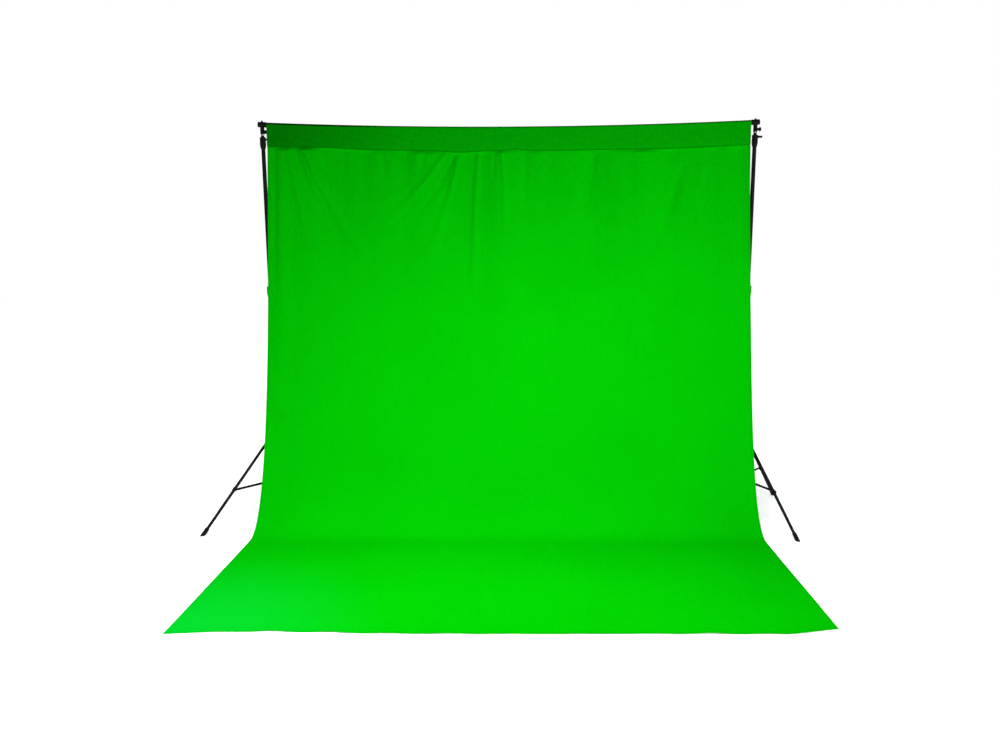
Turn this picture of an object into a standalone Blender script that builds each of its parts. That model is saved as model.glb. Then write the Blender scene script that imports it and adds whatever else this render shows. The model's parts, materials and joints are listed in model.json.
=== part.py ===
"""Background support: two folding stands, a crossbar in sections and a hung cloth sweep.

Metres, +Z up. The crossbar runs along X and the cloth sweeps out towards -Y.
Each stand is built about its own mast axis, which leans a little outward, under an
empty at the mast's foot. The origin is on the floor under the middle of the whole box.
"""
import math

import bmesh
import bpy
from mathutils import Matrix, Vector

# Crossbar
BAR_HEIGHT = 2.460            # bar axis above the floor at the stands
BAR_SAG = 0.033               # how far the middle of the bar hangs below its ends
BAR_HALF_LENGTH = 1.542
BAR_RADIUS = 0.0125
BAR_WALL = 0.0012
BAR_SECTIONS = 4
BAR_STATIONS = 3              # straight lengths that follow the sag in each section
SWAGE_LENGTH = 0.060          # reduced end that plugs into the next section
SWAGE_RADIUS = BAR_RADIUS - BAR_WALL - 0.0003

# Spring button in each bar joint
BUTTON_RADIUS = 0.0035
BUTTON_PROUD = 0.0020
LEAF_LENGTH = 0.040
LEAF_WIDTH = 0.006
LEAF_THICKNESS = 0.0008
LEAF_DEPTH = 0.0070           # leaf's distance from the bar axis

# Stands: places of the mast axis
MAST_TOP_X = 1.524            # where the mast axes meet the bar axis
MAST_FOOT_X = 1.457           # where the mast axes meet the floor
LEAN = math.atan((MAST_TOP_X - MAST_FOOT_X) / BAR_HEIGHT)
BAR_ON_MAST = BAR_HEIGHT / math.cos(LEAN)
FIRST_LEG_TURN = {"left": math.radians(36.9), "right": math.radians(22.8)}

# Mast tubes: outer radius, inner radius, bottom and top along the mast
BASE_TUBE = (0.0150, 0.0135, 0.1966, 1.428)
MIDDLE_TUBE = (0.0125, 0.0113, 1.100, 2.345)
TOP_TUBE = (0.0100, 0.0088, 1.250, 2.3955)

# Collars: bottom, top and screw height along the mast
LOWER_COLLAR = (1.390, 1.457, 1.444)
UPPER_COLLAR = (2.312, 2.3845, 2.373)
COLLAR_WALL = 0.0080

# Spigot and the bracket that sits on it
SPIGOT_RADIUS = 0.0080        # 16 mm stud
SPIGOT_SHANK = 0.035
SPIGOT_FLANGE = 0.0062
SPIGOT_POST = 0.039
SOCKET_RADIUS = 0.0128
SLEEVE_RADIUS = 0.0165
SLEEVE_LENGTH = 0.049
BRACKET_SCREW_DROP = 0.042    # bracket screw below the bar axis
CROWN_PROUD = 0.003           # seat of the bar screw, above the sleeve
GROOVE_RADIUS = 0.0065        # waist of the spigot, where the bracket screw bites
GROOVE_HALF_HEIGHT = 0.005

# Tripod
PIVOT_RADIUS = 0.033          # leg and brace pivots from the mast axis
LEG_PIVOT_HEIGHT = 0.530
BRACE_PIVOT_HEIGHT = 0.230
FOOT_REACH = 0.570            # nominal radius of the feet on the floor
LEG_RADIUS = 0.0090
LEG_WALL = 0.0012
LEG_PLUG = 0.024              # solid top end of a leg below its pivot
LEG_CHAMFER = 0.002
FOOT_RADIUS = 0.0125
FOOT_HEIGHT = 0.050
LEG_END_GAP = 0.018           # leg tube stops this far short of the sole
HUB_RADIUS = 0.0195
HUB_BELOW = 0.022             # hub below and above the leg pivots
HUB_ABOVE = 0.036
HUB_SCREW_RISE = 0.024        # locking screw above the leg pivots
BRACE_HUB_RADIUS = 0.0183
EAR_THICKNESS = 0.0035
EAR_RADIUS = 0.0085
LUG_THICKNESS = 0.0040
LUG_RADIUS = 0.0070
LUG_ROOT_HALF_HEIGHT = 0.012
PIN_HEAD_RADIUS = 0.0050
PIN_HEAD_HEIGHT = 0.0014
PIN_RADIUS = 0.0030
BRACE_FACE = 0.0132           # brace strip's near face, sideways from the leg's centre line
BRACE_THICKNESS = 0.0030
BRACE_HALF_WIDTH = 0.0060
RIVET_RADIUS = 0.0045
RIVET_HEIGHT = 0.0018
CLAMP_RADIUS = 0.0117
CLAMP_LENGTH = 0.026
CLAMP_BOSS_RADIUS = 0.0065

# Screws, bosses and handles
SCREW_RADIUS = 0.0030
BOSS_RADIUS = 0.0080
BOSS_PROUD = 0.006            # screw boss beyond the casting's own radius
HUB_BOSS_PROUD = 0.007
OVERLAP = 0.002               # how far joined shapes run into each other
KNOB_RADIUS = 0.013
KNOB_LOBES = 6
KNOB_SIDES = 24
LOBE_DEPTH = 0.10             # share of the knob's radius
HEX_HEAD_RADIUS = 0.0065
HEX_HEAD_HEIGHT = 0.006
T_HUB_RADIUS = 0.0065
T_HUB_LENGTH = 0.014
T_GRIP_START = 0.008
T_GRIP_THICKNESS = 0.009
HANDLE_HALF_LENGTH = 0.020
HANDLE_HALF_HEIGHT = 0.0055

# Cloth
CLOTH_HALF_WIDTH = 1.495
CLOTH_THICKNESS = 0.0010
POCKET_DEPTH = 0.150          # bar top to pocket seam
POCKET_CLEARANCE = 0.0008
SWEEP_SCALE = 0.165           # catenary constant of the hanging curve
SWEEP_REACH = 0.560           # where the cloth touches the floor, in front of the bar
FRONT_EDGE_LEFT = 1.820       # front corners, in front of the bar
FRONT_EDGE_RIGHT = 1.757
CLOTH_COLUMNS = 10
SWEEP_STEPS = 12
FLOOR_STEPS = 2
POCKET_ARC_STEPS = 6

GAP = 0.0003                  # between touching pieces
ROUND = 16                    # sides of a large turned piece
SMALL_ROUND = 10              # sides of a screw or pin
LEG_ROUND = 12                # sides of a leg, its foot and its clamp

# Finishes: colour, roughness, metallic
FINISHES = {
    "black_tube": ((0.012, 0.012, 0.013), 0.35, 0.6),
    "black_casting": ((0.015, 0.015, 0.016), 0.55, 0.0),
    "black_handle": ((0.010, 0.010, 0.011), 0.45, 0.0),
    "black_rubber": ((0.014, 0.014, 0.014), 0.85, 0.0),
    "bright_steel": ((0.55, 0.55, 0.56), 0.25, 1.0),
    "green_cloth": ((0.0, 0.45, 0.005), 0.9, 0.0),
}


# ---------------------------------------------------------------- mesh building

def finished(bm):
    """Close off a bmesh as a mesh with its faces pointing out."""
    bmesh.ops.recalc_face_normals(bm, faces=bm.faces)
    mesh = bpy.data.meshes.new("shape")
    bm.to_mesh(mesh)
    bm.free()
    return mesh


def bridge(bm, first, second):
    """Faces between two rings, either of which may be a single point."""
    for i in range(max(len(first), len(second))):
        corners = [first[i % len(first)], first[(i + 1) % len(first)]]
        corners += [second[(i + 1) % len(second)], second[i % len(second)]]
        bm.faces.new(list(dict.fromkeys(corners)))


def stack(rings_of_points, hollow):
    """Solid through a row of rings: closed on itself if hollow, else capped at both ends."""
    bm = bmesh.new()
    rings = [[bm.verts.new(point) for point in points] for points in rings_of_points]
    for lower, upper in zip(rings, rings[1:]):
        bridge(bm, lower, upper)
    if hollow:
        bridge(bm, rings[-1], rings[0])
    else:
        for ring in (rings[0], rings[-1]):
            if len(ring) > 1:
                bm.faces.new(ring)
    return finished(bm)


def circle(radius, height, sides):
    """Points of a level ring about Z, or its centre point when the radius is zero."""
    if radius == 0:
        return [Vector((0, 0, height))]
    turns = [2 * math.pi * i / sides for i in range(sides)]
    return [Vector((radius * math.cos(a), radius * math.sin(a), height)) for a in turns]


def turned(profile, sides=ROUND, hollow=False):
    """Solid of revolution about Z from (radius, height) points."""
    return stack([circle(radius, height, sides) for radius, height in profile], hollow)


def tube(outer, inner, bottom, top, sides=ROUND):
    profile = [(outer, bottom), (outer, top), (inner, top), (inner, bottom)]
    return turned(profile, sides, hollow=True)


def rod(radius, bottom, top, sides=SMALL_ROUND):
    return turned([(radius, bottom), (radius, top)], sides)


def plate(outline, near, far):
    """Flat plate: an outline of (x, z) points, thick from near to far along Y."""
    faces = [[Vector((x, y, z)) for x, z in outline] for y in (near, far)]
    return stack(faces, hollow=False)


def rounded_end(x, z, radius, start, end, steps=4):
    """Arc of (x, z) points about a centre, from one angle to another in degrees."""
    angles = [math.radians(start + (end - start) * i / steps) for i in range(steps + 1)]
    return [(x + radius * math.cos(a), z + radius * math.sin(a)) for a in angles]


def moved(mesh, matrix):
    mesh.transform(matrix)
    return mesh


def along_x(mesh):
    """Turn a shape made along +Z to lie along +X."""
    return moved(mesh, Matrix.Rotation(math.radians(90), 4, "Y"))


def along_y(mesh):
    """Turn a shape made along +Z to lie along +Y."""
    return moved(mesh, Matrix.Rotation(math.radians(-90), 4, "X"))


def spun(mesh, angle):
    """Turn a shape about Z."""
    return moved(mesh, Matrix.Rotation(angle, 4, "Z"))


def shifted(mesh, x=0.0, y=0.0, z=0.0):
    return moved(mesh, Matrix.Translation((x, y, z)))


def boolean(base, tool, operation):
    """Mesh left when a closed mesh is joined to, or cut from, another."""
    helpers = [bpy.data.objects.new("helper", mesh) for mesh in (base, tool)]
    for helper in helpers:
        bpy.context.scene.collection.objects.link(helper)
    modifier = helpers[0].modifiers.new("Boolean", "BOOLEAN")
    modifier.operation = operation
    modifier.object = helpers[1]
    bpy.context.view_layer.update()
    evaluated = helpers[0].evaluated_get(bpy.context.evaluated_depsgraph_get())
    result = bpy.data.meshes.new_from_object(evaluated)
    for helper in helpers:
        bpy.data.objects.remove(helper)
    for mesh in (base, tool):
        bpy.data.meshes.remove(mesh)
    return result


def joined(base, *tools):
    for tool in tools:
        base = boolean(base, tool, "UNION")
    return base


def cut(base, *tools):
    for tool in tools:
        base = boolean(base, tool, "DIFFERENCE")
    return base


# ---------------------------------------------------------------- objects

def finish_material(name):
    """The Principled material of a finish, made once."""
    material = bpy.data.materials.get(name)
    if material is None:
        colour, roughness, metallic = FINISHES[name]
        material = bpy.data.materials.new(name)
        material.use_nodes = True
        shader = material.node_tree.nodes["Principled BSDF"]
        shader.inputs["Base Color"].default_value = (*colour, 1.0)
        shader.inputs["Roughness"].default_value = roughness
        shader.inputs["Metallic"].default_value = metallic
    return material


def piece(name, mesh, finish, parent, location=(0, 0, 0), rotation=(0, 0, 0)):
    """Name a mesh as a sub-part, and place it under its parent."""
    mesh.name = name
    mesh.shade_smooth()
    mesh.set_sharp_from_angle(angle=math.radians(35))
    mesh.materials.clear()
    mesh.materials.append(finish_material(finish))
    part = bpy.data.objects.new(name, mesh)
    bpy.context.scene.collection.objects.link(part)
    part.parent = parent
    part.location = location
    part.rotation_euler = rotation
    return part


def empty(name, parent=None, location=(0, 0, 0), rotation=(0, 0, 0)):
    holder = bpy.data.objects.new(name, None)
    bpy.context.scene.collection.objects.link(holder)
    holder.parent = parent
    holder.location = location
    holder.rotation_euler = rotation
    return holder


# ---------------------------------------------------------------- crossbar

def sag_at(x):
    """How far the bar hangs below its height at the stands."""
    return BAR_SAG * (1 - (x / MAST_TOP_X) ** 2)


def bar_centre(x):
    return Vector((x, 0, BAR_HEIGHT - sag_at(x)))


def bar_ring(x, radius):
    """Upright ring of points about the sagging bar axis."""
    flat = circle(radius, 0, ROUND)
    return [bar_centre(x) + Vector((0, point.x, point.y)) for point in flat]


def bar_section(start, end, swaged):
    """One tube of the crossbar, with a reduced end on its +X side if swaged."""
    inner = BAR_RADIUS - BAR_WALL
    steps = [start + (end - start) * i / BAR_STATIONS for i in range(BAR_STATIONS + 1)]
    outside = [(x, BAR_RADIUS) for x in steps]
    inside = [(x, inner) for x in reversed(steps)]
    if swaged:
        plug_end = end + SWAGE_LENGTH
        plug_bore = SWAGE_RADIUS - BAR_WALL
        outside += [(end, SWAGE_RADIUS), (plug_end, SWAGE_RADIUS)]
        inside[0:1] = [(plug_end, plug_bore), (end - BAR_WALL, plug_bore), (end - BAR_WALL, inner)]
    return stack([bar_ring(x, radius) for x, radius in outside + inside], hollow=True)


def button_hole(x):
    """Cutter through the underside of the bar, where a spring button comes out."""
    centre = bar_centre(x)
    drill = rod(BUTTON_RADIUS + GAP, -BAR_RADIUS - 0.003, -BAR_RADIUS * 0.5)
    return shifted(drill, x=x, z=centre.z)


def spring_button():
    """Pin on a leaf spring: the origin is on the bar axis and the head points down."""
    head = BAR_RADIUS + BUTTON_PROUD
    profile = [(BUTTON_RADIUS, -LEAF_DEPTH), (BUTTON_RADIUS, -head + 0.0012)]
    profile += [(BUTTON_RADIUS * 0.6, -head), (0, -head)]
    pin = turned(profile, SMALL_ROUND)
    half = LEAF_LENGTH / 2
    outline = [(-half, -LEAF_DEPTH - LEAF_THICKNESS / 2), (half, -LEAF_DEPTH - LEAF_THICKNESS / 2)]
    outline += [(half, -LEAF_DEPTH + LEAF_THICKNESS), (-half, -LEAF_DEPTH + LEAF_THICKNESS)]
    leaf = plate(outline, -LEAF_WIDTH / 2, LEAF_WIDTH / 2)
    return joined(leaf, pin)


def build_crossbar(whole):
    """Bar sections from left to right, with a spring button in each joint."""
    length = 2 * BAR_HALF_LENGTH / BAR_SECTIONS
    for number in range(1, BAR_SECTIONS + 1):
        start = -BAR_HALF_LENGTH + (number - 1) * length
        end = start + length - GAP
        swaged = number < BAR_SECTIONS
        mesh = bar_section(start, end, swaged)
        if number > 1:
            mesh = cut(mesh, button_hole(start + SWAGE_LENGTH / 2))
        if swaged:
            hole_x = start + length + SWAGE_LENGTH / 2
            mesh = cut(mesh, button_hole(hole_x))
            piece(f"bar_button_{number}", spring_button(), "bright_steel", whole, bar_centre(hole_x))
        piece(f"bar_section_{number}", mesh, "black_tube", whole)


# ---------------------------------------------------------------- brackets

def socket_bottom():
    """Where the bracket's socket starts, just above the spigot's flange."""
    return TOP_TUBE[3] + GAP + SPIGOT_FLANGE + GAP


def bracket(side, knob_turn):
    """Casting with a sleeve for the bar over a socket for the spigot, in the mast's frame."""
    slope = side * (math.atan(2 * BAR_SAG / MAST_TOP_X) + LEAN)
    tilt = Matrix.Translation((0, 0, BAR_ON_MAST)) @ Matrix.Rotation(-slope, 4, "Y")
    half = SLEEVE_LENGTH / 2
    sleeve = moved(along_x(rod(SLEEVE_RADIUS, -half, half, ROUND)), tilt)
    socket = rod(SOCKET_RADIUS, socket_bottom(), BAR_ON_MAST, ROUND)
    screw_height = BAR_ON_MAST - BRACKET_SCREW_DROP
    boss = along_x(rod(BOSS_RADIUS, SPIGOT_RADIUS + OVERLAP, SOCKET_RADIUS + BOSS_PROUD))
    boss = shifted(boss, z=screw_height)
    crown_top = BAR_ON_MAST + SLEEVE_RADIUS + CROWN_PROUD
    crown = rod(BOSS_RADIUS * 0.9, BAR_ON_MAST + BAR_RADIUS + OVERLAP, crown_top)
    body = joined(sleeve, socket, spun(boss, knob_turn), crown)
    bar_bore = moved(along_x(rod(BAR_RADIUS + GAP, -2 * half, 2 * half, ROUND)), tilt)
    spigot_top = TOP_TUBE[3] + GAP + SPIGOT_FLANGE + SPIGOT_POST
    socket_bore = rod(SPIGOT_RADIUS + GAP, socket_bottom() - OVERLAP, spigot_top + 3 * GAP, ROUND)
    screw_bore = SCREW_RADIUS + GAP
    knob_hole = along_x(rod(screw_bore, SPIGOT_RADIUS / 2, SOCKET_RADIUS + BOSS_PROUD + OVERLAP))
    knob_hole = shifted(knob_hole, z=screw_height)
    screw_hole = rod(screw_bore, BAR_ON_MAST, crown_top + OVERLAP)
    return cut(body, bar_bore, socket_bore, spun(knob_hole, knob_turn), screw_hole)


def lobed_ring(size, height):
    """Level ring of points with shallow lobes."""
    points = []
    for i in range(KNOB_SIDES):
        angle = 2 * math.pi * i / KNOB_SIDES
        reach = size * (1 - LOBE_DEPTH * (1 + math.cos(KNOB_LOBES * angle)) / 2)
        points.append(Vector((reach * math.cos(angle), reach * math.sin(angle), height)))
    return points


def lobed_knob(start, stem_end):
    """Round screw knob with shallow lobes, along +X from the tip of its screw."""
    grip = [(KNOB_RADIUS * 0.6, 0.0), (KNOB_RADIUS, 0.005)]
    grip += [(KNOB_RADIUS, 0.013), (KNOB_RADIUS * 0.8, 0.016)]
    rings = [lobed_ring(size, stem_end + height) for size, height in grip]
    head = stack(rings, hollow=False)
    stem = rod(SCREW_RADIUS, start, stem_end + OVERLAP)
    return along_x(joined(head, stem))


def bar_screw():
    """Clamp screw with a six-sided head, made along +Z above the bar axis."""
    tip = BAR_RADIUS + GAP
    head = SLEEVE_RADIUS + CROWN_PROUD + GAP
    stem = rod(SCREW_RADIUS, tip, head + OVERLAP)
    cap = rod(HEX_HEAD_RADIUS, head, head + HEX_HEAD_HEIGHT, sides=6)
    return joined(cap, stem)


# ---------------------------------------------------------------- mast

def spigot():
    """Stud in the top tube: a shank, a flange on the tube's end and a grooved post."""
    flange = TOP_TUBE[3] + GAP
    post = flange + SPIGOT_FLANGE
    top = post + SPIGOT_POST
    groove = BAR_ON_MAST - BRACKET_SCREW_DROP
    rim = TOP_TUBE[0] + 0.001
    slant = GROOVE_HALF_HEIGHT + 0.002
    profile = [(TOP_TUBE[1] - GAP, flange - SPIGOT_SHANK), (TOP_TUBE[1] - GAP, flange)]
    profile += [(rim, flange), (rim, post), (SPIGOT_RADIUS, post), (SPIGOT_RADIUS, groove - slant)]
    profile += [(GROOVE_RADIUS, groove - GROOVE_HALF_HEIGHT), (GROOVE_RADIUS, groove + GROOVE_HALF_HEIGHT)]
    profile += [(SPIGOT_RADIUS, groove + slant), (SPIGOT_RADIUS, top - 0.001), (SPIGOT_RADIUS - 0.001, top)]
    return turned(profile)


def collar(heights, outer_tube, inner_tube, screw_turn):
    """Clamp collar: it grips the top of the outer tube, and its screw presses the inner one."""
    bottom, top, screw = heights
    wide = outer_tube[0] + GAP
    narrow = inner_tube[0] + GAP
    shoulder = outer_tube[3] + GAP
    body = narrow + COLLAR_WALL
    profile = [(wide, bottom), (wide + 0.002, bottom), (body, bottom + 0.020), (body, top - 0.003)]
    profile += [(body - 0.003, top), (narrow, top), (narrow, shoulder), (wide, shoulder)]
    ring = turned(profile, hollow=True)
    boss = shifted(along_x(rod(BOSS_RADIUS, narrow + OVERLAP, body + BOSS_PROUD)), z=screw)
    hole = along_x(rod(SCREW_RADIUS + GAP, narrow - OVERLAP, body + BOSS_PROUD + OVERLAP))
    return spun(cut(joined(ring, boss), shifted(hole, z=screw)), screw_turn)


def t_handle(start, hub_start):
    """Screw with a T-shaped handle, along +X with the bar of the T level."""
    stem = along_x(rod(SCREW_RADIUS, start, hub_start + OVERLAP))
    profile = [(T_HUB_RADIUS, hub_start), (T_HUB_RADIUS, hub_start + 0.006)]
    profile += [(T_HUB_RADIUS * 0.8, hub_start + T_HUB_LENGTH)]
    hub = along_x(turned(profile, SMALL_ROUND))
    reach = HANDLE_HALF_LENGTH - HANDLE_HALF_HEIGHT
    outline = rounded_end(reach, 0, HANDLE_HALF_HEIGHT, -90, 90)
    outline += rounded_end(-reach, 0, HANDLE_HALF_HEIGHT, 90, 270)
    grip = spun(plate(outline, 0, T_GRIP_THICKNESS), math.radians(-90))
    grip = shifted(grip, x=hub_start + T_GRIP_START)
    return joined(hub, grip, stem)


# ---------------------------------------------------------------- tripod

def leg_directions(side, name):
    """Turn about the mast of each leg's outward direction."""
    first = FIRST_LEG_TURN[name]
    outward = math.atan2(-math.cos(first), side * math.sin(first))
    return [outward + side * math.radians(120) * i for i in range(3)]


def leg_length():
    """Pivot to sole, set by the nominal reach on a level floor."""
    return math.hypot(FOOT_REACH - PIVOT_RADIUS, LEG_PIVOT_HEIGHT)


def clamp_distance():
    """Leg pivot to brace pivot along the leg."""
    return leg_length() * (LEG_PIVOT_HEIGHT - BRACE_PIVOT_HEIGHT) / LEG_PIVOT_HEIGHT


def floor_slopes(side, turn):
    """Rise of the level floor in the leaning mast's frame, outward along a leg and sideways."""
    rise = math.tan(side * LEAN)
    return rise * math.cos(turn), -rise * math.sin(turn)


def leg_spread(side, turn):
    """Angle between a leg and the mast when its sole is on the floor."""
    outward, _ = floor_slopes(side, turn)
    height = LEG_PIVOT_HEIGHT - outward * PIVOT_RADIUS
    return math.atan(outward) + math.acos(height / (leg_length() * math.hypot(1, outward)))


def brace_line(side, turn):
    """Length of a brace and its slope above level, in the mast's frame."""
    spread = leg_spread(side, turn)
    across = clamp_distance() * math.sin(spread)
    up = LEG_PIVOT_HEIGHT - clamp_distance() * math.cos(spread) - BRACE_PIVOT_HEIGHT
    return math.hypot(across, up), math.atan2(up, across)


def fold_travel():
    """How far the leg hub slides up the mast to fold the legs flat."""
    brace = FOOT_REACH - PIVOT_RADIUS
    brace *= (LEG_PIVOT_HEIGHT - BRACE_PIVOT_HEIGHT) / LEG_PIVOT_HEIGHT
    return clamp_distance() + brace - (LEG_PIVOT_HEIGHT - BRACE_PIVOT_HEIGHT)


def leg_tube():
    """Leg from its pivot at the origin down -Z: a solid plug on top, then an open tube."""
    end = LEG_END_GAP - leg_length()
    bore = LEG_RADIUS - LEG_WALL
    profile = [(LEG_RADIUS - LEG_CHAMFER, LEG_RADIUS), (LEG_RADIUS, LEG_RADIUS - LEG_CHAMFER)]
    profile += [(LEG_RADIUS, end), (bore, end), (bore, -LEG_PLUG)]
    pivot_hole = along_y(rod(PIN_RADIUS + GAP, -2 * LEG_RADIUS, 2 * LEG_RADIUS))
    return cut(turned(profile, LEG_ROUND), pivot_hole)


def foot_cap(side, turn):
    """Rubber cup on the leg's end, its sole cut level with the floor."""
    spread = leg_spread(side, turn)
    outward, sideways = floor_slopes(side, turn)
    fall = math.cos(spread) + outward * math.sin(spread)

    def sole(radius):
        points = []
        for point in circle(radius, 0, LEG_ROUND):
            reach = PIVOT_RADIUS + point.x * math.cos(spread)
            rise = outward * reach + sideways * point.y - LEG_PIVOT_HEIGHT - point.x * math.sin(spread)
            points.append(Vector((point.x, point.y, rise / fall)))
        return points

    length = leg_length()
    seat = LEG_END_GAP - GAP - length
    bore = LEG_RADIUS + GAP
    rim = FOOT_HEIGHT - length
    rings = [sole(FOOT_RADIUS)]
    rings += [circle(radius, height, LEG_ROUND) for radius, height in
              ((FOOT_RADIUS, rim), (bore, rim), (bore, seat))]
    return stack(rings, hollow=False)


def leg_clamp():
    """Band round the leg at the brace, with a flat boss for the brace's rivet."""
    middle = -clamp_distance()
    half = CLAMP_LENGTH / 2
    band = tube(CLAMP_RADIUS, LEG_RADIUS + GAP, middle - half, middle + half, LEG_ROUND)
    boss = shifted(along_y(rod(CLAMP_BOSS_RADIUS, LEG_RADIUS + OVERLAP / 2, BRACE_FACE - GAP)), z=middle)
    return joined(band, boss)


def brace_strip(length):
    """Flat strip along +X from its pivot at the origin, with a rivet head at its far end."""
    outline = rounded_end(0, 0, BRACE_HALF_WIDTH, 90, 270)
    outline += rounded_end(length, 0, BRACE_HALF_WIDTH, -90, 90)
    far = BRACE_FACE + BRACE_THICKNESS
    strip = plate(outline, BRACE_FACE, far)
    profile = [(RIVET_RADIUS, far - 0.001), (RIVET_RADIUS, far + 0.0008), (0.003, far + RIVET_HEIGHT)]
    rivet = turned(profile, SMALL_ROUND)
    hole = along_y(rod(PIN_RADIUS + GAP, BRACE_FACE - OVERLAP, far + OVERLAP))
    return joined(cut(strip, hole), shifted(along_y(rivet), x=length))


def hub_ears(height):
    """Two ears and a headed pin that hold one leg, out along +X."""
    near = LEG_RADIUS + GAP
    far = near + EAR_THICKNESS
    root = HUB_RADIUS - 0.004
    outline = [(root, height - 0.010)]
    outline += rounded_end(PIVOT_RADIUS, height, EAR_RADIUS, -70, 90)
    outline += [(root, height + 0.012)]
    ears = [plate(outline, near, far), plate(outline, -far, -near)]
    head = far + PIN_HEAD_HEIGHT
    neck = far - 0.0005
    profile = [(PIN_HEAD_RADIUS, -head), (PIN_HEAD_RADIUS, -neck), (PIN_RADIUS, -neck)]
    profile += [(PIN_RADIUS, neck), (PIN_HEAD_RADIUS, neck), (PIN_HEAD_RADIUS, head)]
    pin = shifted(along_y(turned(profile, SMALL_ROUND)), x=PIVOT_RADIUS, z=height)
    return ears + [pin]


def leg_hub(turns, handle_turn):
    """Sliding hub of the leg tops, with the boss of its locking screw."""
    bore = BASE_TUBE[0] + GAP
    body = tube(HUB_RADIUS, bore, LEG_PIVOT_HEIGHT - HUB_BELOW, LEG_PIVOT_HEIGHT + HUB_ABOVE)
    for turn in turns:
        body = joined(body, *[spun(mesh, turn) for mesh in hub_ears(LEG_PIVOT_HEIGHT)])
    boss = along_x(rod(BOSS_RADIUS, bore + OVERLAP, HUB_RADIUS + HUB_BOSS_PROUD))
    hole = along_x(rod(SCREW_RADIUS + GAP, bore - OVERLAP, HUB_RADIUS + HUB_BOSS_PROUD + OVERLAP))
    screw_height = LEG_PIVOT_HEIGHT + HUB_SCREW_RISE
    boss, hole = [spun(shifted(mesh, z=screw_height), handle_turn) for mesh in (boss, hole)]
    return cut(joined(body, boss), hole)


def brace_lug():
    """Lug beside one brace, with the pin that the brace turns on, out along +X."""
    near = BRACE_FACE + BRACE_THICKNESS + GAP
    far = near + LUG_THICKNESS
    height = BRACE_PIVOT_HEIGHT
    inner = 0.005
    low = height - LUG_ROOT_HALF_HEIGHT
    high = height + LUG_ROOT_HALF_HEIGHT
    block = [(inner, low), (BRACE_FACE, low), (BRACE_FACE, high), (inner, high)]
    root = plate(block, BRACE_FACE - 0.0012, near + OVERLAP)
    outline = [(inner, low)] + rounded_end(PIVOT_RADIUS, height, LUG_RADIUS, -90, 90) + [(inner, high)]
    lug = plate(outline, near, far)
    pin = shifted(along_y(rod(PIN_RADIUS, BRACE_FACE - GAP, near + 0.001)), x=PIVOT_RADIUS, z=height)
    return [root, lug, pin]


def brace_hub(turns):
    """Fixed cup on the foot of the base tube, with a lug for each brace."""
    floor = BASE_TUBE[2] - GAP
    rim = BRACE_PIVOT_HEIGHT + 0.022
    body = turned([(BRACE_HUB_RADIUS - 0.002, floor - 0.006), (BRACE_HUB_RADIUS, floor - 0.004),
                   (BRACE_HUB_RADIUS, rim)])
    for turn in turns:
        body = joined(body, *[spun(mesh, turn) for mesh in brace_lug()])
    return cut(body, rod(BASE_TUBE[0] + GAP, floor, rim + OVERLAP, ROUND))


# ---------------------------------------------------------------- stands

def build_mast(name, stand, turns):
    """Telescoping tubes with their collars and handles."""
    for tube_name, sizes in (("base_tube", BASE_TUBE), ("middle_tube", MIDDLE_TUBE), ("top_tube", TOP_TUBE)):
        piece(f"{name}_{tube_name}", tube(*sizes), "black_tube", stand)
    piece(f"{name}_spigot", spigot(), "bright_steel", stand)
    for collar_name, heights, outer, inner in (
        ("lower_collar", LOWER_COLLAR, BASE_TUBE, MIDDLE_TUBE),
        ("upper_collar", UPPER_COLLAR, MIDDLE_TUBE, TOP_TUBE),
    ):
        turn = turns[collar_name]
        piece(f"{name}_{collar_name}", collar(heights, outer, inner, turn), "black_casting", stand)
        face = inner[0] + GAP + COLLAR_WALL + BOSS_PROUD
        handle = t_handle(inner[0] + 2 * GAP, face + GAP)
        piece(f"{name}_{collar_name}_handle", handle, "black_handle", stand, (0, 0, heights[2]), (0, 0, turn))


def build_tripod(name, side, stand):
    """Hubs, legs, feet and braces."""
    turns = leg_directions(side, name)
    lock_turn = turns[0] + math.pi
    piece(f"{name}_leg_hub", leg_hub(turns, lock_turn), "black_casting", stand)
    piece(f"{name}_brace_hub", brace_hub(turns), "black_casting", stand)
    handle = t_handle(BASE_TUBE[0] + 2 * GAP, HUB_RADIUS + HUB_BOSS_PROUD + GAP)
    lock_place = (0, 0, LEG_PIVOT_HEIGHT + HUB_SCREW_RISE)
    piece(f"{name}_leg_hub_handle", handle, "black_handle", stand, lock_place, (0, 0, lock_turn))
    for number, turn in enumerate(turns, start=1):
        outward = Vector((math.cos(turn), math.sin(turn), 0)) * PIVOT_RADIUS
        pivot = outward + Vector((0, 0, LEG_PIVOT_HEIGHT))
        tilt = (0, -leg_spread(side, turn), turn)
        piece(f"{name}_leg_{number}", leg_tube(), "black_tube", stand, pivot, tilt)
        piece(f"{name}_foot_{number}", foot_cap(side, turn), "black_rubber", stand, pivot, tilt)
        piece(f"{name}_leg_clamp_{number}", leg_clamp(), "black_casting", stand, pivot, tilt)
        length, slope = brace_line(side, turn)
        low_pivot = outward + Vector((0, 0, BRACE_PIVOT_HEIGHT))
        brace_tilt = (0, -slope, turn)
        piece(f"{name}_brace_{number}", brace_strip(length), "black_tube", stand, low_pivot, brace_tilt)


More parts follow.
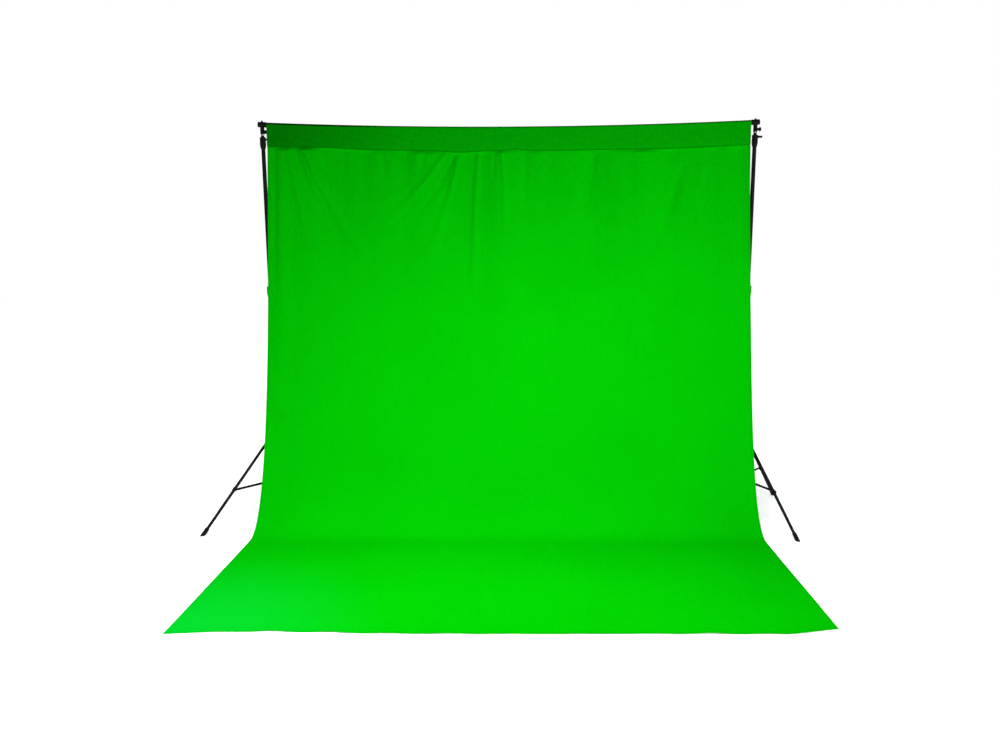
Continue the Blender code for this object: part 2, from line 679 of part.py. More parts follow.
def build_stand(name, side, whole):
    """One stand and the bracket on it, about an outward-leaning mast axis."""
    stand = empty(f"{name}_stand", whole, (side * MAST_FOOT_X, 0, 0), (0, side * LEAN, 0))
    back = math.radians(70) if side < 0 else 0.0
    behind = math.radians(90 - side * 15)
    piece(f"{name}_bracket", bracket(side, back), "black_casting", stand)
    knob_height = BAR_ON_MAST - BRACKET_SCREW_DROP
    knob = lobed_knob(GROOVE_RADIUS + 2 * GAP, SOCKET_RADIUS + BOSS_PROUD + GAP)
    piece(f"{name}_bracket_knob", knob, "black_handle", stand, (0, 0, knob_height), (0, 0, back))
    piece(f"{name}_bar_screw", bar_screw(), "bright_steel", stand, (0, 0, BAR_ON_MAST))
    build_mast(name, stand, {"upper_collar": back, "lower_collar": behind})
    build_tripod(name, side, stand)


# ---------------------------------------------------------------- cloth

def front_edge(x):
    """Distance of the cloth's front edge in front of the bar, a little askew."""
    share = (x + CLOTH_HALF_WIDTH) / (2 * CLOTH_HALF_WIDTH)
    return FRONT_EDGE_LEFT + (FRONT_EDGE_RIGHT - FRONT_EDGE_LEFT) * share


def pocket_path(x):
    """Middle line of the rod pocket in the YZ plane: up behind the bar, over it and down."""
    radius = BAR_RADIUS + POCKET_CLEARANCE + CLOTH_THICKNESS / 2
    bar = bar_centre(x)
    seam = Vector((x, 0, bar.z + radius - POCKET_DEPTH))
    angles = [math.pi * i / POCKET_ARC_STEPS for i in range(POCKET_ARC_STEPS + 1)]
    arc = [bar + Vector((0, radius * math.cos(a), radius * math.sin(a))) for a in angles]
    behind = seam + Vector((0, 1.5 * CLOTH_THICKNESS, CLOTH_THICKNESS))
    return [behind] + arc + [seam]


def drop_path(x, seam):
    """Middle line from the seam down the hanging curve to the front edge on the floor."""
    low = CLOTH_THICKNESS / 2
    steepest = math.acosh((seam.z - low) / SWEEP_SCALE + 1)
    points = []
    for i in range(1, SWEEP_STEPS + 1):
        bend = steepest * (1 - i / SWEEP_STEPS)
        ahead = SWEEP_REACH * (1 - bend / steepest)
        points.append(Vector((x, -ahead, low + SWEEP_SCALE * (math.cosh(bend) - 1))))
    for i in range(1, FLOOR_STEPS + 1):
        ahead = SWEEP_REACH + (front_edge(x) - SWEEP_REACH) * i / FLOOR_STEPS
        points.append(Vector((x, -ahead, low)))
    return points


def offset_path(points, distance):
    """The path moved sideways in its own YZ plane; positive is to the outside of the pocket."""
    moved_points = []
    for i, point in enumerate(points):
        before = points[max(i - 1, 0)]
        after = points[min(i + 1, len(points) - 1)]
        run = (after - before).normalized()
        moved_points.append(point + Vector((0, run.z, -run.y)) * distance)
    return moved_points


def cloth_sheet():
    """Thin closed sheet whose top end is a pocket, closed on itself at the seam."""
    bm = bmesh.new()
    half = CLOTH_THICKNESS / 2
    columns = []
    for i in range(CLOTH_COLUMNS + 1):
        x = CLOTH_HALF_WIDTH * (2 * i / CLOTH_COLUMNS - 1)
        pocket = pocket_path(x)
        path = pocket + drop_path(x, pocket[-1])
        seam = len(pocket) - 1
        outer = [bm.verts.new(point) for point in offset_path(path, half)]
        inner_points = offset_path(path, -half)
        inner = [None] + [bm.verts.new(point) for point in inner_points[1:]]
        inner[0] = inner[seam]
        bm.verts.remove(outer[0])
        outer[0] = inner[seam + 1]
        columns.append((outer, inner))
    for (outer, inner), (next_outer, next_inner) in zip(columns, columns[1:]):
        for j in range(len(outer) - 1):
            bm.faces.new((outer[j], outer[j + 1], next_outer[j + 1], next_outer[j]))
            if j != seam:
                bm.faces.new((inner[j], next_inner[j], next_inner[j + 1], inner[j + 1]))
        bm.faces.new((outer[-1], inner[-1], next_inner[-1], next_outer[-1]))
    for outer, inner in (columns[0], columns[-1]):
        for j in range(len(outer) - 1):
            bm.faces.new((outer[j], outer[j + 1], inner[j + 1], inner[j]))
    return finished(bm)


# ---------------------------------------------------------------- whole

def centre_on_floor(whole):
    """Put the origin on the floor under the middle of the whole box."""
    bpy.context.view_layer.update()
    corners = []
    for part in bpy.context.scene.objects:
        if part.type == "MESH":
            corners += [part.matrix_world @ vertex.co for vertex in part.data.vertices]
    for axis in (0, 1):
        values = [corner[axis] for corner in corners]
        whole.location[axis] -= (min(values) + max(values)) / 2
    bpy.context.view_layer.update()


def build():
    for leftover in list(bpy.data.objects):
        bpy.data.objects.remove(leftover)
    whole = empty("background_support")
    build_crossbar(whole)
    for name, side in (("left", -1), ("right", 1)):
        build_stand(name, side, whole)
    piece("backdrop_cloth", cloth_sheet(), "green_cloth", whole)
    centre_on_floor(whole)


build()
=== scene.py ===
"""Looks of the background support: the hung cloth, the crossbar, two stands, a studio and a camera.

Metres, +Z up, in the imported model's frame: the crossbar runs along X and the cloth sweeps
out towards -Y. Pieces of a stand are shaped about the stand's own mast axis, foot at the origin.
"""
import json
import math

import bmesh
import bpy
import numpy as np
from mathutils import Matrix, Vector

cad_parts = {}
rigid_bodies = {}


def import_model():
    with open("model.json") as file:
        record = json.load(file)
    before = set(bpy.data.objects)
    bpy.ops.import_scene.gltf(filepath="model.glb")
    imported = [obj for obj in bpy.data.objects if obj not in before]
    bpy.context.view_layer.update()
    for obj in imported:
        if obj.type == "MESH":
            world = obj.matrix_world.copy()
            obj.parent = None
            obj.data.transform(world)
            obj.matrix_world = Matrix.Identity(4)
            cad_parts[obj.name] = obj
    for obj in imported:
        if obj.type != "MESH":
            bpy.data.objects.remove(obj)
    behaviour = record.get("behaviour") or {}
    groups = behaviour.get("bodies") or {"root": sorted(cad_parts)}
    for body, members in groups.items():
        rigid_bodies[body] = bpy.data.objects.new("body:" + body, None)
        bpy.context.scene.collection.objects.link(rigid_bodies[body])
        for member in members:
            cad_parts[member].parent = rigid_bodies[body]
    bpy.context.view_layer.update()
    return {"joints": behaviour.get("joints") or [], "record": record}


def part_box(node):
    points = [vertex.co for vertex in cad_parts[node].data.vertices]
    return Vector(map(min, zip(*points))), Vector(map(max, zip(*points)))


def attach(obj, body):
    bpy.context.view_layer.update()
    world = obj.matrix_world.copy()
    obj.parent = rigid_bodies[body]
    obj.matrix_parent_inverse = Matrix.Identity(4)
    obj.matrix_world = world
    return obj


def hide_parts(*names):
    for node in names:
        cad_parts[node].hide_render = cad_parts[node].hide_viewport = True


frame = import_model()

# ---------------------------------------------------------------- places read from the frame

JOINTS = {joint["name"]: joint for joint in frame["joints"]}
BODIES = frame["record"]["behaviour"]["bodies"]
BODY_OF = {node: body for body, nodes in BODIES.items() for node in nodes}


def place(joint):
    return Vector(JOINTS[joint]["pos_m"])


def direction(joint):
    return Vector(JOINTS[joint]["axis"]).normalized()


LEFT_SCREW = place("left_bar_screw_turn")
RIGHT_SCREW = place("right_bar_screw_turn")
BAR_MIDDLE = (LEFT_SCREW + RIGHT_SCREW) / 2
BAR_HALF_SPAN = (RIGHT_SCREW - LEFT_SCREW).x / 2

# ---------------------------------------------------------------- sizes

# Crossbar
BAR_SAG = 0.033
BAR_HALF_LENGTH = 1.542
BAR_RADIUS = 0.0125
BAR_WALL = 0.0012
BAR_SECTIONS = 4
BAR_STEP = 0.030              # length of each straight bit of the bar's curve
SWAGE_LENGTH = 0.060
SWAGE_TAPER = 0.003
SWAGE_RADIUS = BAR_RADIUS - BAR_WALL - 0.0003
BUTTON_HOLE_RADIUS = 0.0038

# Cloth
CLOTH_HALF_WIDTH = (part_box("backdrop_cloth")[1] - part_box("backdrop_cloth")[0]).x / 2
CLOTH_THICKNESS = 0.0008
HEM_WIDTH = 0.014
HEM_THICKNESS = 2.6           # a hem's thickness, in layers
HEM_EDGE = 0.001              # half the step from single cloth to a hem
POCKET_DEPTH = 0.149          # bar top to pocket seam
POCKET_RADIUS = BAR_RADIUS + 0.0010
POCKET_BACK_GAP = 0.0030      # between the pocket's layers at the seam
POCKET_CRUMPLE = 0.0042       # height of the crumples of the pocket's front
SWEEP_SCALE = 0.165           # catenary constant of the hanging curve
SWEEP_REACH = 0.560           # where the cloth touches the floor, in front of the bar
FRONT_EDGE_LEFT = 1.820       # front corners, in front of the bar
FRONT_EDGE_RIGHT = 1.757
FRONT_BULGE = 0.048            # how far the front edge bows out, at most
FRONT_BULGE_PLACES = [(-1.15, 0.0), (-0.94, 0.16), (-0.52, 0.46), (-0.09, 0.80), (0.44, 0.76),
                      (0.86, 1.0), (1.25, 1.0), (1.40, 0.5), (1.49, 0.0)]
BUSY_RIGHT_EDGE = 0.20        # creases are close together left of this, and far apart right of it
BUSY_COLUMN = 0.0082
CALM_COLUMN = 0.0190
POCKET_ROWS = 10
ARC_ROWS = 10
DROP_ROWS = 108
DROP_CROWDING = 1.5           # rows lie closer together near the seam
FLOOR_ROWS = 26
CLOSEST_COLUMNS = 0.0009
DROP_FADE = (1.6, 2.4)        # lengths below the seam between which the drop's folds die out
FLOOR_FROM = 2.0              # length below the seam past which the sheet may touch the floor
FLOOR_RIPPLE = 0.0012

# Where the pocket's seam is pulled up or down: place along the bar, lift, half width
SEAM_WAVES = [(-1.15, 0.008, 0.16), (-0.30, -0.009, 0.10), (0.05, 0.010, 0.06), (1.05, -0.004, 0.30)]

# Creases of the drop: points (across, below the seam), height, half width at the top and bottom
CREASES = [
    ([(-1.37, 0.02), (-1.31, 0.25), (-1.25, 0.58)], 0.0088, 0.013, 0.024),
    ([(-1.32, 0.02), (-1.23, 0.25), (-1.11, 0.49)], -0.0070, 0.011, 0.0208),
    ([(-1.27, 0.00), (-1.15, 0.25), (-0.99, 0.53), (-0.86, 0.68)], 0.0140, 0.018, 0.032),
    ([(-0.78, 0.00), (-0.75, 0.19)], -0.0053, 0.010, 0.0112),
    ([(-0.56, 0.01), (-0.59, 0.12)], 0.0039, 0.009, 0.0096),
    ([(-0.51, 0.01), (-0.55, 0.18)], -0.0046, 0.009, 0.0128),
    ([(-0.39, 0.02), (-0.50, 0.18), (-0.66, 0.36), (-0.80, 0.46)], 0.0105, 0.011, 0.0272),
    ([(-0.33, 0.02), (-0.42, 0.21), (-0.57, 0.41), (-0.68, 0.52)], -0.0079, 0.011, 0.024),
    ([(-0.30, 0.03), (-0.37, 0.30), (-0.44, 0.52), (-0.50, 0.68)], 0.0096, 0.011, 0.024),
    ([(-0.18, 0.00), (-0.20, 0.30), (-0.21, 0.64), (-0.22, 0.95)], 0.0114, 0.013, 0.0272),
    ([(-0.08, 0.00), (-0.09, 0.20)], -0.0061, 0.010, 0.0128),
    ([(-0.04, 0.00), (-0.02, 0.22), (-0.02, 0.50)], 0.0096, 0.010, 0.0176),
    ([(0.11, 0.00), (0.10, 0.34)], -0.0049, 0.015, 0.0192),
    ([(0.54, 0.00), (0.50, 0.22), (0.47, 0.43)], -0.0084, 0.022, 0.0288),
    ([(0.64, 0.00), (0.63, 0.26)], 0.0056, 0.022, 0.024),
    ([(1.08, 0.12), (1.01, 0.34), (0.96, 0.49), (0.82, 0.70)], -0.0105, 0.025, 0.036),
    ([(1.20, 0.12), (1.15, 0.36)], 0.0070, 0.025, 0.0288),
    ([(-1.445, 0.00), (-1.450, 0.95)], -0.0079, 0.018, 0.0176),
    ([(-1.400, 0.00), (-1.412, 1.80)], 0.0115, 0.045, 0.056),
    ([(1.437, 0.00), (1.445, 0.95)], -0.0079, 0.022, 0.0192),
]

# Slack swags between the two places where the cloth is pulled: lowest point, half span, height, half width
SWAGS = [((-0.88, 0.34), 0.34, 0.0050, 0.040), ((-0.88, 0.56), 0.40, 0.0045, 0.050)]

# Long waves of the drop: wavelength, phase, height, how far down they fade
DROP_WAVES = [(0.71, 0.4, 0.0080, 1.3), (0.41, 1.9, 0.0060, 0.8), (0.233, 3.1, 0.0042, 0.5),
              (0.127, 5.0, 0.0020, 0.35)]

# Lifts of the front hem: place across, height, half width
HEM_LIFTS = [(-1.02, 0.003, 0.07), (-0.74, 0.002, 0.06), (0.33, 0.003, 0.05), (0.52, 0.002, 0.04),
             (0.93, 0.003, 0.07)]

# Small diagonal creases near the front hem: place across, behind the hem, height
FLOOR_CREASES = [(-1.08, -0.16, 0.0035), (-1.01, -0.20, 0.0030), (-0.86, -0.15, 0.0035),
                 (0.42, -0.12, 0.0025), (1.12, -0.14, 0.0025)]

# Cloth's colours, the painted light and shade on it, and the threads of its stitches
CLOTH_DARK = (0.0003, 0.252, 0.0003, 1)
CLOTH_LIGHT = (0.0004, 0.282, 0.0005, 1)
CLOTH_PAINTED_LIGHT = (0.0008, 0.284, 0.0115, 1)
PAINTED_LIGHT_REACH = 1.1               # how far the painted light on the front corner reaches
# Painted shade of the doubled pocket, for the backlight it keeps out, darkest at its left end
POCKET_PAINTED_SHADE = (0.0003, 0.195, 0.0003, 1)
POCKET_PAINTED_DEEP_SHADE = (0.0003, 0.110, 0.0003, 1)
BAR_SHADOW = (0.0002, 0.010, 0.0002, 1)
BAR_LINE_WIDTHS = (0.024, 0.0165)      # half widths of the dark line over the bar, left and elsewhere
# Colour of the stitch threads, also used for the painted shadow along the pocket's seam
STITCH_AND_SEAM_SHADOW_GREEN = (0.0002, 0.100, 0.0002, 1)
STITCH_HALF_WIDTH = 0.0007
STITCH_PITCH = 0.004
STITCH_SHARE = 0.65            # visible thread in each pitch
STEEL_DARK = (0.42, 0.42, 0.43, 1)
STEEL_LIGHT = (0.62, 0.62, 0.63, 1)

# Mast tubes: outer radius, inner radius, bottom and top along the mast
TUBES = {
    "base_tube": (0.0150, 0.0135, 0.1966, 1.428),
    "middle_tube": (0.0125, 0.0113, 1.100, 2.345),
    "top_tube": (0.0100, 0.0088, 1.250, 2.3955),
}
# Collars: outer tube, inner tube, bottom, top and screw height along the mast
COLLARS = {
    "lower_collar": ("base_tube", "middle_tube", 1.390, 1.457, 1.444),
    "upper_collar": ("middle_tube", "top_tube", 2.312, 2.3845, 2.373),
}
COLLAR_WALL = 0.0080
COLLAR_RIBS = 18

# Spigot and bracket, about the point where the mast axis meets the bar axis
SPIGOT_RADIUS = 0.0080
SPIGOT_SHANK = 0.035
SPIGOT_FLANGE = 0.0062
SPIGOT_POST = 0.039
GROOVE_RADIUS = 0.0065
GROOVE_HALF_HEIGHT = 0.005
SOCKET_RADIUS = 0.0128
SLEEVE_RADIUS = 0.0165
SLEEVE_LENGTH = 0.049
CROWN_PROUD = 0.003
BRACKET_SCREW_DROP = 0.042

# Tripod
PIVOT_RADIUS = 0.033
LEG_PIVOT_HEIGHT = 0.530
BRACE_PIVOT_HEIGHT = 0.230
LEG_RADIUS = 0.0090
LEG_WALL = 0.0012
LEG_LENGTH = math.hypot(0.570 - PIVOT_RADIUS, LEG_PIVOT_HEIGHT)
FOOT_RADIUS = 0.0125
FOOT_HEIGHT = 0.050
LEG_END_GAP = 0.018
HUB_RADIUS = 0.0195
HUB_BELOW = 0.022
HUB_ABOVE = 0.036
HUB_SCREW_RISE = 0.024
EAR_THICKNESS = 0.0035
EAR_RADIUS = 0.0085
BRACE_HUB_RADIUS = 0.0183
BRACE_FACE = 0.0132
BRACE_THICKNESS = 0.0030
BRACE_HALF_WIDTH = 0.0070
LUG_THICKNESS = 0.0040
CLAMP_RADIUS = 0.0117
CLAMP_LENGTH = 0.026
CLAMP_DISTANCE = LEG_LENGTH * (1 - BRACE_PIVOT_HEIGHT / LEG_PIVOT_HEIGHT)
PIN_RADIUS = 0.0030

# Screws, bosses and handles
SCREW_RADIUS = 0.0030
BOSS_RADIUS = 0.0080
BOSS_PROUD = 0.006
HUB_BOSS_PROUD = 0.007
KNOB_RADIUS = 0.013
KNOB_LOBES = 6
T_HALF_LENGTH = 0.020
T_HALF_HEIGHT = 0.0055
GAP = 0.0003                  # between touching pieces
DRILL_OVER = 0.002            # how far a drill runs past the face it starts from
ROUND = 56                    # sides of a turned piece

# Studio
FLOOR_SIZE = 60.0
FLOOR_HEIGHT = -0.0006
FLOOR_CLEAR = 1.6              # the floor starts to glow this far from the middle
FLOOR_GLOWING = 3.4            # and glows fully from here on
FLOOR_GLOW_NEAR = 0.15
FLOOR_GREY = 0.86
DOME_RADIUS = 29.0
WORLD_DIM = 0.15               # light from behind the camera, against 1 from behind the backdrop
WHITE = (1, 1, 1, 1)
# Light panels: name, place, point aimed at, width, height, watts, spread in degrees
PANELS = [
    ("key_panel", (2.8, -3.2, 1.7), (0.0, 0.5, 1.1), 1.4, 1.0, 68, 100),
    ("floor_fill", (-2.4, -2.6, 1.1), (-1.2, -0.9, 0.0), 1.0, 0.8, 9, 70),
    ("top_panel", (-0.4, -1.5, 3.6), (-0.4, -0.7, 0.0), 3.0, 1.4, 77, 90),
]
CAMERA_PLACE = (0.1002, -5.0453, 1.6824)
CAMERA_DOWN = math.radians(4.64)
CAMERA_LEFT = 0.0175
CAMERA_ROLL = 0.0028
CAMERA_LENS = 32.654
CAMERA_SHIFT = (-0.00853, -0.0516)


# ---------------------------------------------------------------- materials

class Nodes:
    """A material's or world's node tree, with short ways to add the nodes of its look."""

    def __init__(self, owner, shader="Principled BSDF"):
        owner.use_nodes = True
        self.owner = owner
        self.tree = owner.node_tree
        self.shader = self.tree.nodes[shader]

    def put(self, socket, value):
        """Link a node's output into a socket, or set the socket to a plain value."""
        if isinstance(value, bpy.types.NodeSocket):
            self.tree.links.new(value, socket)
        else:
            socket.default_value = value

    def look(self, name, value):
        self.put(self.shader.inputs[name], value)

    def node(self, kind, inputs, output, **settings):
        """The output of a new node, with its inputs linked or set."""
        node = self.tree.nodes.new(f"ShaderNode{kind}")
        for setting, value in settings.items():
            setattr(node, setting, value)
        for socket, value in inputs.items():
            self.put(node.inputs[socket], value)
        return node.outputs[output]

    def noise(self, where, scale, detail):
        return self.node("TexNoise", {"Vector": where, "Scale": scale, "Detail": detail}, "Fac")

    def stretched(self, where, scale):
        return self.node("Mapping", {"Vector": where, "Scale": scale}, "Vector")

    def math(self, operation, *values):
        return self.node("Math", dict(enumerate(values)), "Value", operation=operation)

    def ranged(self, value, start, end, low, high, blend="LINEAR"):
        """From low to high as value goes from start to end, and level beyond."""
        inputs = {"Value": value, "From Min": start, "From Max": end, "To Min": low, "To Max": high}
        return self.node("MapRange", inputs, "Result", interpolation_type=blend)

    def spread(self, noise, low, high):
        """From low to high over a noise's usual range."""
        return self.ranged(noise, 0.3, 0.7, low, high)

    def mixed(self, factor, under, over):
        """Colour under, covered by over where factor is 1."""
        return self.node("Mix", {"Factor": factor, "A": under, "B": over}, "Result", data_type="RGBA")

    def bump(self, height, strength, distance, under=None):
        inputs = {"Height": height, "Strength": strength, "Distance": distance}
        if under is not None:
            inputs["Normal"] = under
        return self.node("Bump", inputs, "Normal")


def paint(name):
    return Nodes(bpy.data.materials.new(name))


def grey(value, blue=0.0):
    return (value, value, value + blue, 1)


def black_finish(name, dark, light, roughness, specular, grain, grain_depth, stretch=(1, 1, 1)):
    """Painted or moulded black: a fine grained surface with cloudy gloss and a few rubbed marks."""
    black = paint(name)
    where = black.node("TexCoord", {}, "Object")
    clouds = black.noise(where, 14.0, 4.0)
    rubbed = black.noise(black.stretched(where, stretch), 160.0, 3.0)
    tone = black.math("MULTIPLY", black.math("MULTIPLY", clouds, rubbed), 2.0)
    black.look("Base Color", black.mixed(black.spread(tone, 0, 1), dark, light))
    black.look("Roughness", black.spread(rubbed, roughness + 0.08, roughness - 0.08))
    black.look("Normal", black.bump(black.noise(where, grain, 2.0), 0.5, grain_depth))
    black.look("Specular IOR Level", specular)
    return black.owner


def steel_finish():
    """Bright plated steel with fine turning marks round its axis."""
    steel = paint("bright_steel_turned")
    where = steel.node("TexCoord", {}, "Object")
    marks = steel.noise(steel.stretched(where, (4, 4, 900)), 3.0, 3.0)
    steel.look("Base Color", steel.mixed(steel.spread(marks, 0, 1), STEEL_DARK, STEEL_LIGHT))
    steel.look("Roughness", steel.spread(marks, 0.34, 0.22))
    steel.look("Normal", steel.bump(marks, 0.3, 0.00005))
    steel.look("Metallic", 1.0)
    return steel.owner


def near_soft(cloth, value, target, half_width, flat=0.0):
    """1 near the target, fading to 0 at half_width from it; flat is the share of full strength."""
    away = cloth.math("ABSOLUTE", cloth.math("SUBTRACT", value, target))
    return cloth.ranged(cloth.math("DIVIDE", away, half_width), flat, 1.0, 1.0, 0.0, "SMOOTHSTEP")


def stitch_rows(cloth, across, down, seam, front):
    """1 on the stitches along the pocket's seam and the three hems, else 0."""
    inset = HEM_WIDTH - 0.003
    rows = [(down, across, seam), (down, across, front - inset)]
    rows += [(across, down, inset), (across, down, 2 * CLOTH_HALF_WIDTH - inset)]
    total = 0.0
    for value, along, target in rows:
        row = cloth.math("COMPARE", value, target, STITCH_HALF_WIDTH)
        place_in_pitch = cloth.math("FRACT", cloth.math("MULTIPLY", along, 1 / STITCH_PITCH))
        thread = cloth.math("LESS_THAN", place_in_pitch, STITCH_SHARE)
        total = cloth.math("MAXIMUM", total, cloth.math("MULTIPLY", row, thread))
    return total


def weave(cloth, where):
    """Height of a plain weave with threads about half a millimetre apart."""
    inputs = {"Vector": where, "Scale": 560.0, "Distortion": 0.6, "Detail": 1.0}
    bands = [cloth.node("TexWave", inputs, "Fac", wave_type="BANDS", bands_direction=axis) for axis in "XY"]
    return cloth.math("MULTIPLY", *bands)


def cloth_finish(seam, front, bar_top):
    """Chroma green muslin: plain weave, slubs, faint mottling, stitches, painted shade on the pocket, bar
    line and seam, and painted light on the front corner.
    """
    cloth = paint("green_muslin")
    where = cloth.node("UVMap", {}, "UV", uv_map="cut")
    across = cloth.node("SeparateXYZ", {"Vector": where}, "X")
    down = cloth.node("SeparateXYZ", {"Vector": where}, "Y")
    slubs = cloth.noise(cloth.stretched(where, (700, 6, 1)), 1.0, 2.0)
    tone = cloth.math("MULTIPLY", cloth.math("ADD", cloth.noise(where, 2.2, 5.0), slubs), 0.5)
    green = cloth.mixed(cloth.spread(tone, 0, 1), CLOTH_DARK, CLOTH_LIGHT)
    # Painted light: the front corner that lies on the floor is painted paler and bluer, where the lamps
    # light it most
    corner = (0.0, front, 0.0)
    painted_light_distance = cloth.node("VectorMath", {0: where, 1: corner}, "Value", operation="DISTANCE")
    green = cloth.mixed(near_soft(cloth, painted_light_distance, 0.0, PAINTED_LIGHT_REACH), green, CLOTH_PAINTED_LIGHT)
    # Painted shade: the pocket is painted darker than the single cloth, and darker still towards its left
    # end, where the bracket shades it
    pocket = cloth.mixed(cloth.ranged(across, 0.0, 0.9, 0.0, 1.0), POCKET_PAINTED_DEEP_SHADE, POCKET_PAINTED_SHADE)
    painted_pocket_shade = cloth.ranged(down, seam - 0.002, seam + 0.002, 1.0, 0.0)
    green = cloth.mixed(painted_pocket_shade, green, pocket)
    line_width = cloth.ranged(across, 0.50, 0.75, *BAR_LINE_WIDTHS)
    over_bar = cloth.math("MULTIPLY", near_soft(cloth, down, bar_top, line_width, 0.6), 0.97)
    green = cloth.mixed(over_bar, green, BAR_SHADOW)
    # Painted shadow along the pocket's seam, a soft band in the stitches' colour
    painted_seam_shadow = cloth.math("MULTIPLY", near_soft(cloth, down, seam - 0.002, 0.0060), 0.75)
    green = cloth.mixed(painted_seam_shadow, green, STITCH_AND_SEAM_SHADOW_GREEN)
    stitched = stitch_rows(cloth, across, down, seam, front)
    cloth.look("Base Color", cloth.mixed(stitched, green, STITCH_AND_SEAM_SHADOW_GREEN))
    crumpled = cloth.bump(cloth.noise(where, 26.0, 3.0), 0.35, 0.004)
    threads = cloth.math("SUBTRACT", weave(cloth, where), stitched)
    cloth.look("Normal", cloth.bump(threads, 0.3, 0.00012, crumpled))
    cloth.look("Roughness", cloth.spread(slubs, 0.98, 0.86))
    cloth.look("Specular IOR Level", 0.0)
    return cloth.owner


FINISHES = {
    "black_tube": black_finish("black_powder_coat", grey(0.002), grey(0.005, 0.0005), 0.50, 0.06, 1500.0,
                               0.00008, (1, 1, 0.06)),
    "black_casting": black_finish("black_nylon_casting", grey(0.002), grey(0.0055, 0.0005), 0.62, 0.06,
                                  900.0, 0.00014),
    "black_handle": black_finish("black_moulded_handle", grey(0.0015), grey(0.004, 0.0005), 0.42, 0.09,
                                 700.0, 0.00008),
    "black_rubber": black_finish("black_rubber_cup", grey(0.003), grey(0.007), 0.85, 0.05, 500.0, 0.00016),
    "bright_steel": steel_finish(),
}


# ---------------------------------------------------------------- pieces

def smooth_mesh(mesh, sharp_above=38):
    mesh.shade_smooth()
    mesh.set_sharp_from_angle(angle=math.radians(sharp_above))
    return mesh


def linked(name, data, matrix=Matrix()):
    """A new object in the scene."""
    piece = bpy.data.objects.new(name, data)
    bpy.context.scene.collection.objects.link(piece)
    piece.matrix_world = matrix
    return piece


def show(node, mesh, slot, matrix):
    """Put a finished mesh in place of a CAD node, in its slot's finish."""
    mesh.materials.clear()
    mesh.materials.append(FINISHES[slot])
    mesh.name = f"{node}_detailed"
    piece = linked(mesh.name, mesh, matrix)
    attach(piece, BODY_OF[node])
    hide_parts(node)


def mesh_of(bm):
    mesh = bpy.data.meshes.new("shape")
    bm.to_mesh(mesh)
    bm.free()
    return mesh


def solid_of(bm):
    bmesh.ops.recalc_face_normals(bm, faces=bm.faces)
    return mesh_of(bm)


def bridge(bm, first, second):
    """Faces between two rings, either of which may be a single point."""
    for i in range(max(len(first), len(second))):
        corners = [first[i % len(first)], first[(i + 1) % len(first)]]
        corners += [second[(i + 1) % len(second)], second[i % len(second)]]
        bm.faces.new(list(dict.fromkeys(corners)))


def stack(rings_of_points, hollow=False):
    """Solid through a row of rings: closed on itself if hollow, else capped at both ends."""
    bm = bmesh.new()
    rings = [[bm.verts.new(point) for point in points] for points in rings_of_points]
    for lower, upper in zip(rings, rings[1:]):
        bridge(bm, lower, upper)
    if hollow:
        bridge(bm, rings[-1], rings[0])
    else:
        for ring in (rings[0], rings[-1]):
            if len(ring) > 1:
                bm.faces.new(ring)
    return solid_of(bm)


def circle(radius, height, sides=ROUND):
    if radius == 0:
        return [Vector((0, 0, height))]
    turns = [2 * math.pi * i / sides for i in range(sides)]
    return [Vector((radius * math.cos(a), radius * math.sin(a), height)) for a in turns]


def eased(points, radius, closed=False, steps=3):
    """The outline with its corners rounded off by about radius."""
    corners = [Vector(point) for point in points]
    last = len(corners) - 1
    rounded = []
    for i, corner in enumerate(corners):
        if not closed and i in (0, last):
            rounded.append(corner)
            continue
        before = corners[i - 1] - corner
        after = corners[(i + 1) % len(corners)] - corner
        start = corner + before.normalized() * min(radius, before.length * 0.45)
        end = corner + after.normalized() * min(radius, after.length * 0.45)
        for step in range(steps + 1):
            t = step / steps
            rounded.append(start * (1 - t) ** 2 + corner * 2 * t * (1 - t) + end * t ** 2)
    return [tuple(point) for point in rounded]


def lathe(profile, ease=0.0006, hollow=False, sides=ROUND):
    """Turned solid about Z from (radius, height) points, with eased corners."""
    outline = eased(profile, ease, closed=hollow)
    return stack([circle(max(radius, 0), height, sides) for radius, height in outline], hollow)


def pipe(outer, inner, bottom, top):
    return lathe([(outer, bottom), (outer, top), (inner, top), (inner, bottom)], 0.0004, hollow=True)


def rod(radius, bottom, top, sides=ROUND):
    return stack([circle(radius, bottom, sides), circle(radius, top, sides)])


def capped(radius, bottom, top, ease):
    """Solid round bar with eased ends."""
    return lathe([(0, bottom), (radius, bottom), (radius, top), (0, top)], ease)


def plate(outline, near_y, far_y):
    """Flat plate: an outline of (x, z) points, thick from near_y to far_y along Y."""
    return stack([[Vector((x, y, z)) for x, z in outline] for y in (near_y, far_y)])


def arc(x, z, radius, start, end, steps=14):
    angles = [math.radians(start + (end - start) * i / steps) for i in range(steps + 1)]
    return [(x + radius * math.cos(a), z + radius * math.sin(a)) for a in angles]


def moved(mesh, matrix):
    mesh.transform(matrix)
    return mesh


def along_x(mesh):
    return moved(mesh, Matrix.Rotation(math.radians(90), 4, "Y"))


def along_y(mesh):
    return moved(mesh, Matrix.Rotation(math.radians(-90), 4, "X"))


def spun(mesh, angle):
    return moved(mesh, Matrix.Rotation(angle, 4, "Z"))


def shifted(mesh, x=0.0, y=0.0, z=0.0):
    return moved(mesh, Matrix.Translation((x, y, z)))


def side_rod(radius, start, end, height, turn=0.0, sides=ROUND):
    """Rod that points away from the Z axis, at a height and turned about the axis."""
    return spun(shifted(along_x(rod(radius, start, end, sides)), z=height), turn)


def screw_hole(start, face, height, turn=0.0):
    """Drill for a screw from the side, from start to past the face of its boss."""
    return side_rod(SCREW_RADIUS + GAP, start, face + DRILL_OVER, height, turn, 24)


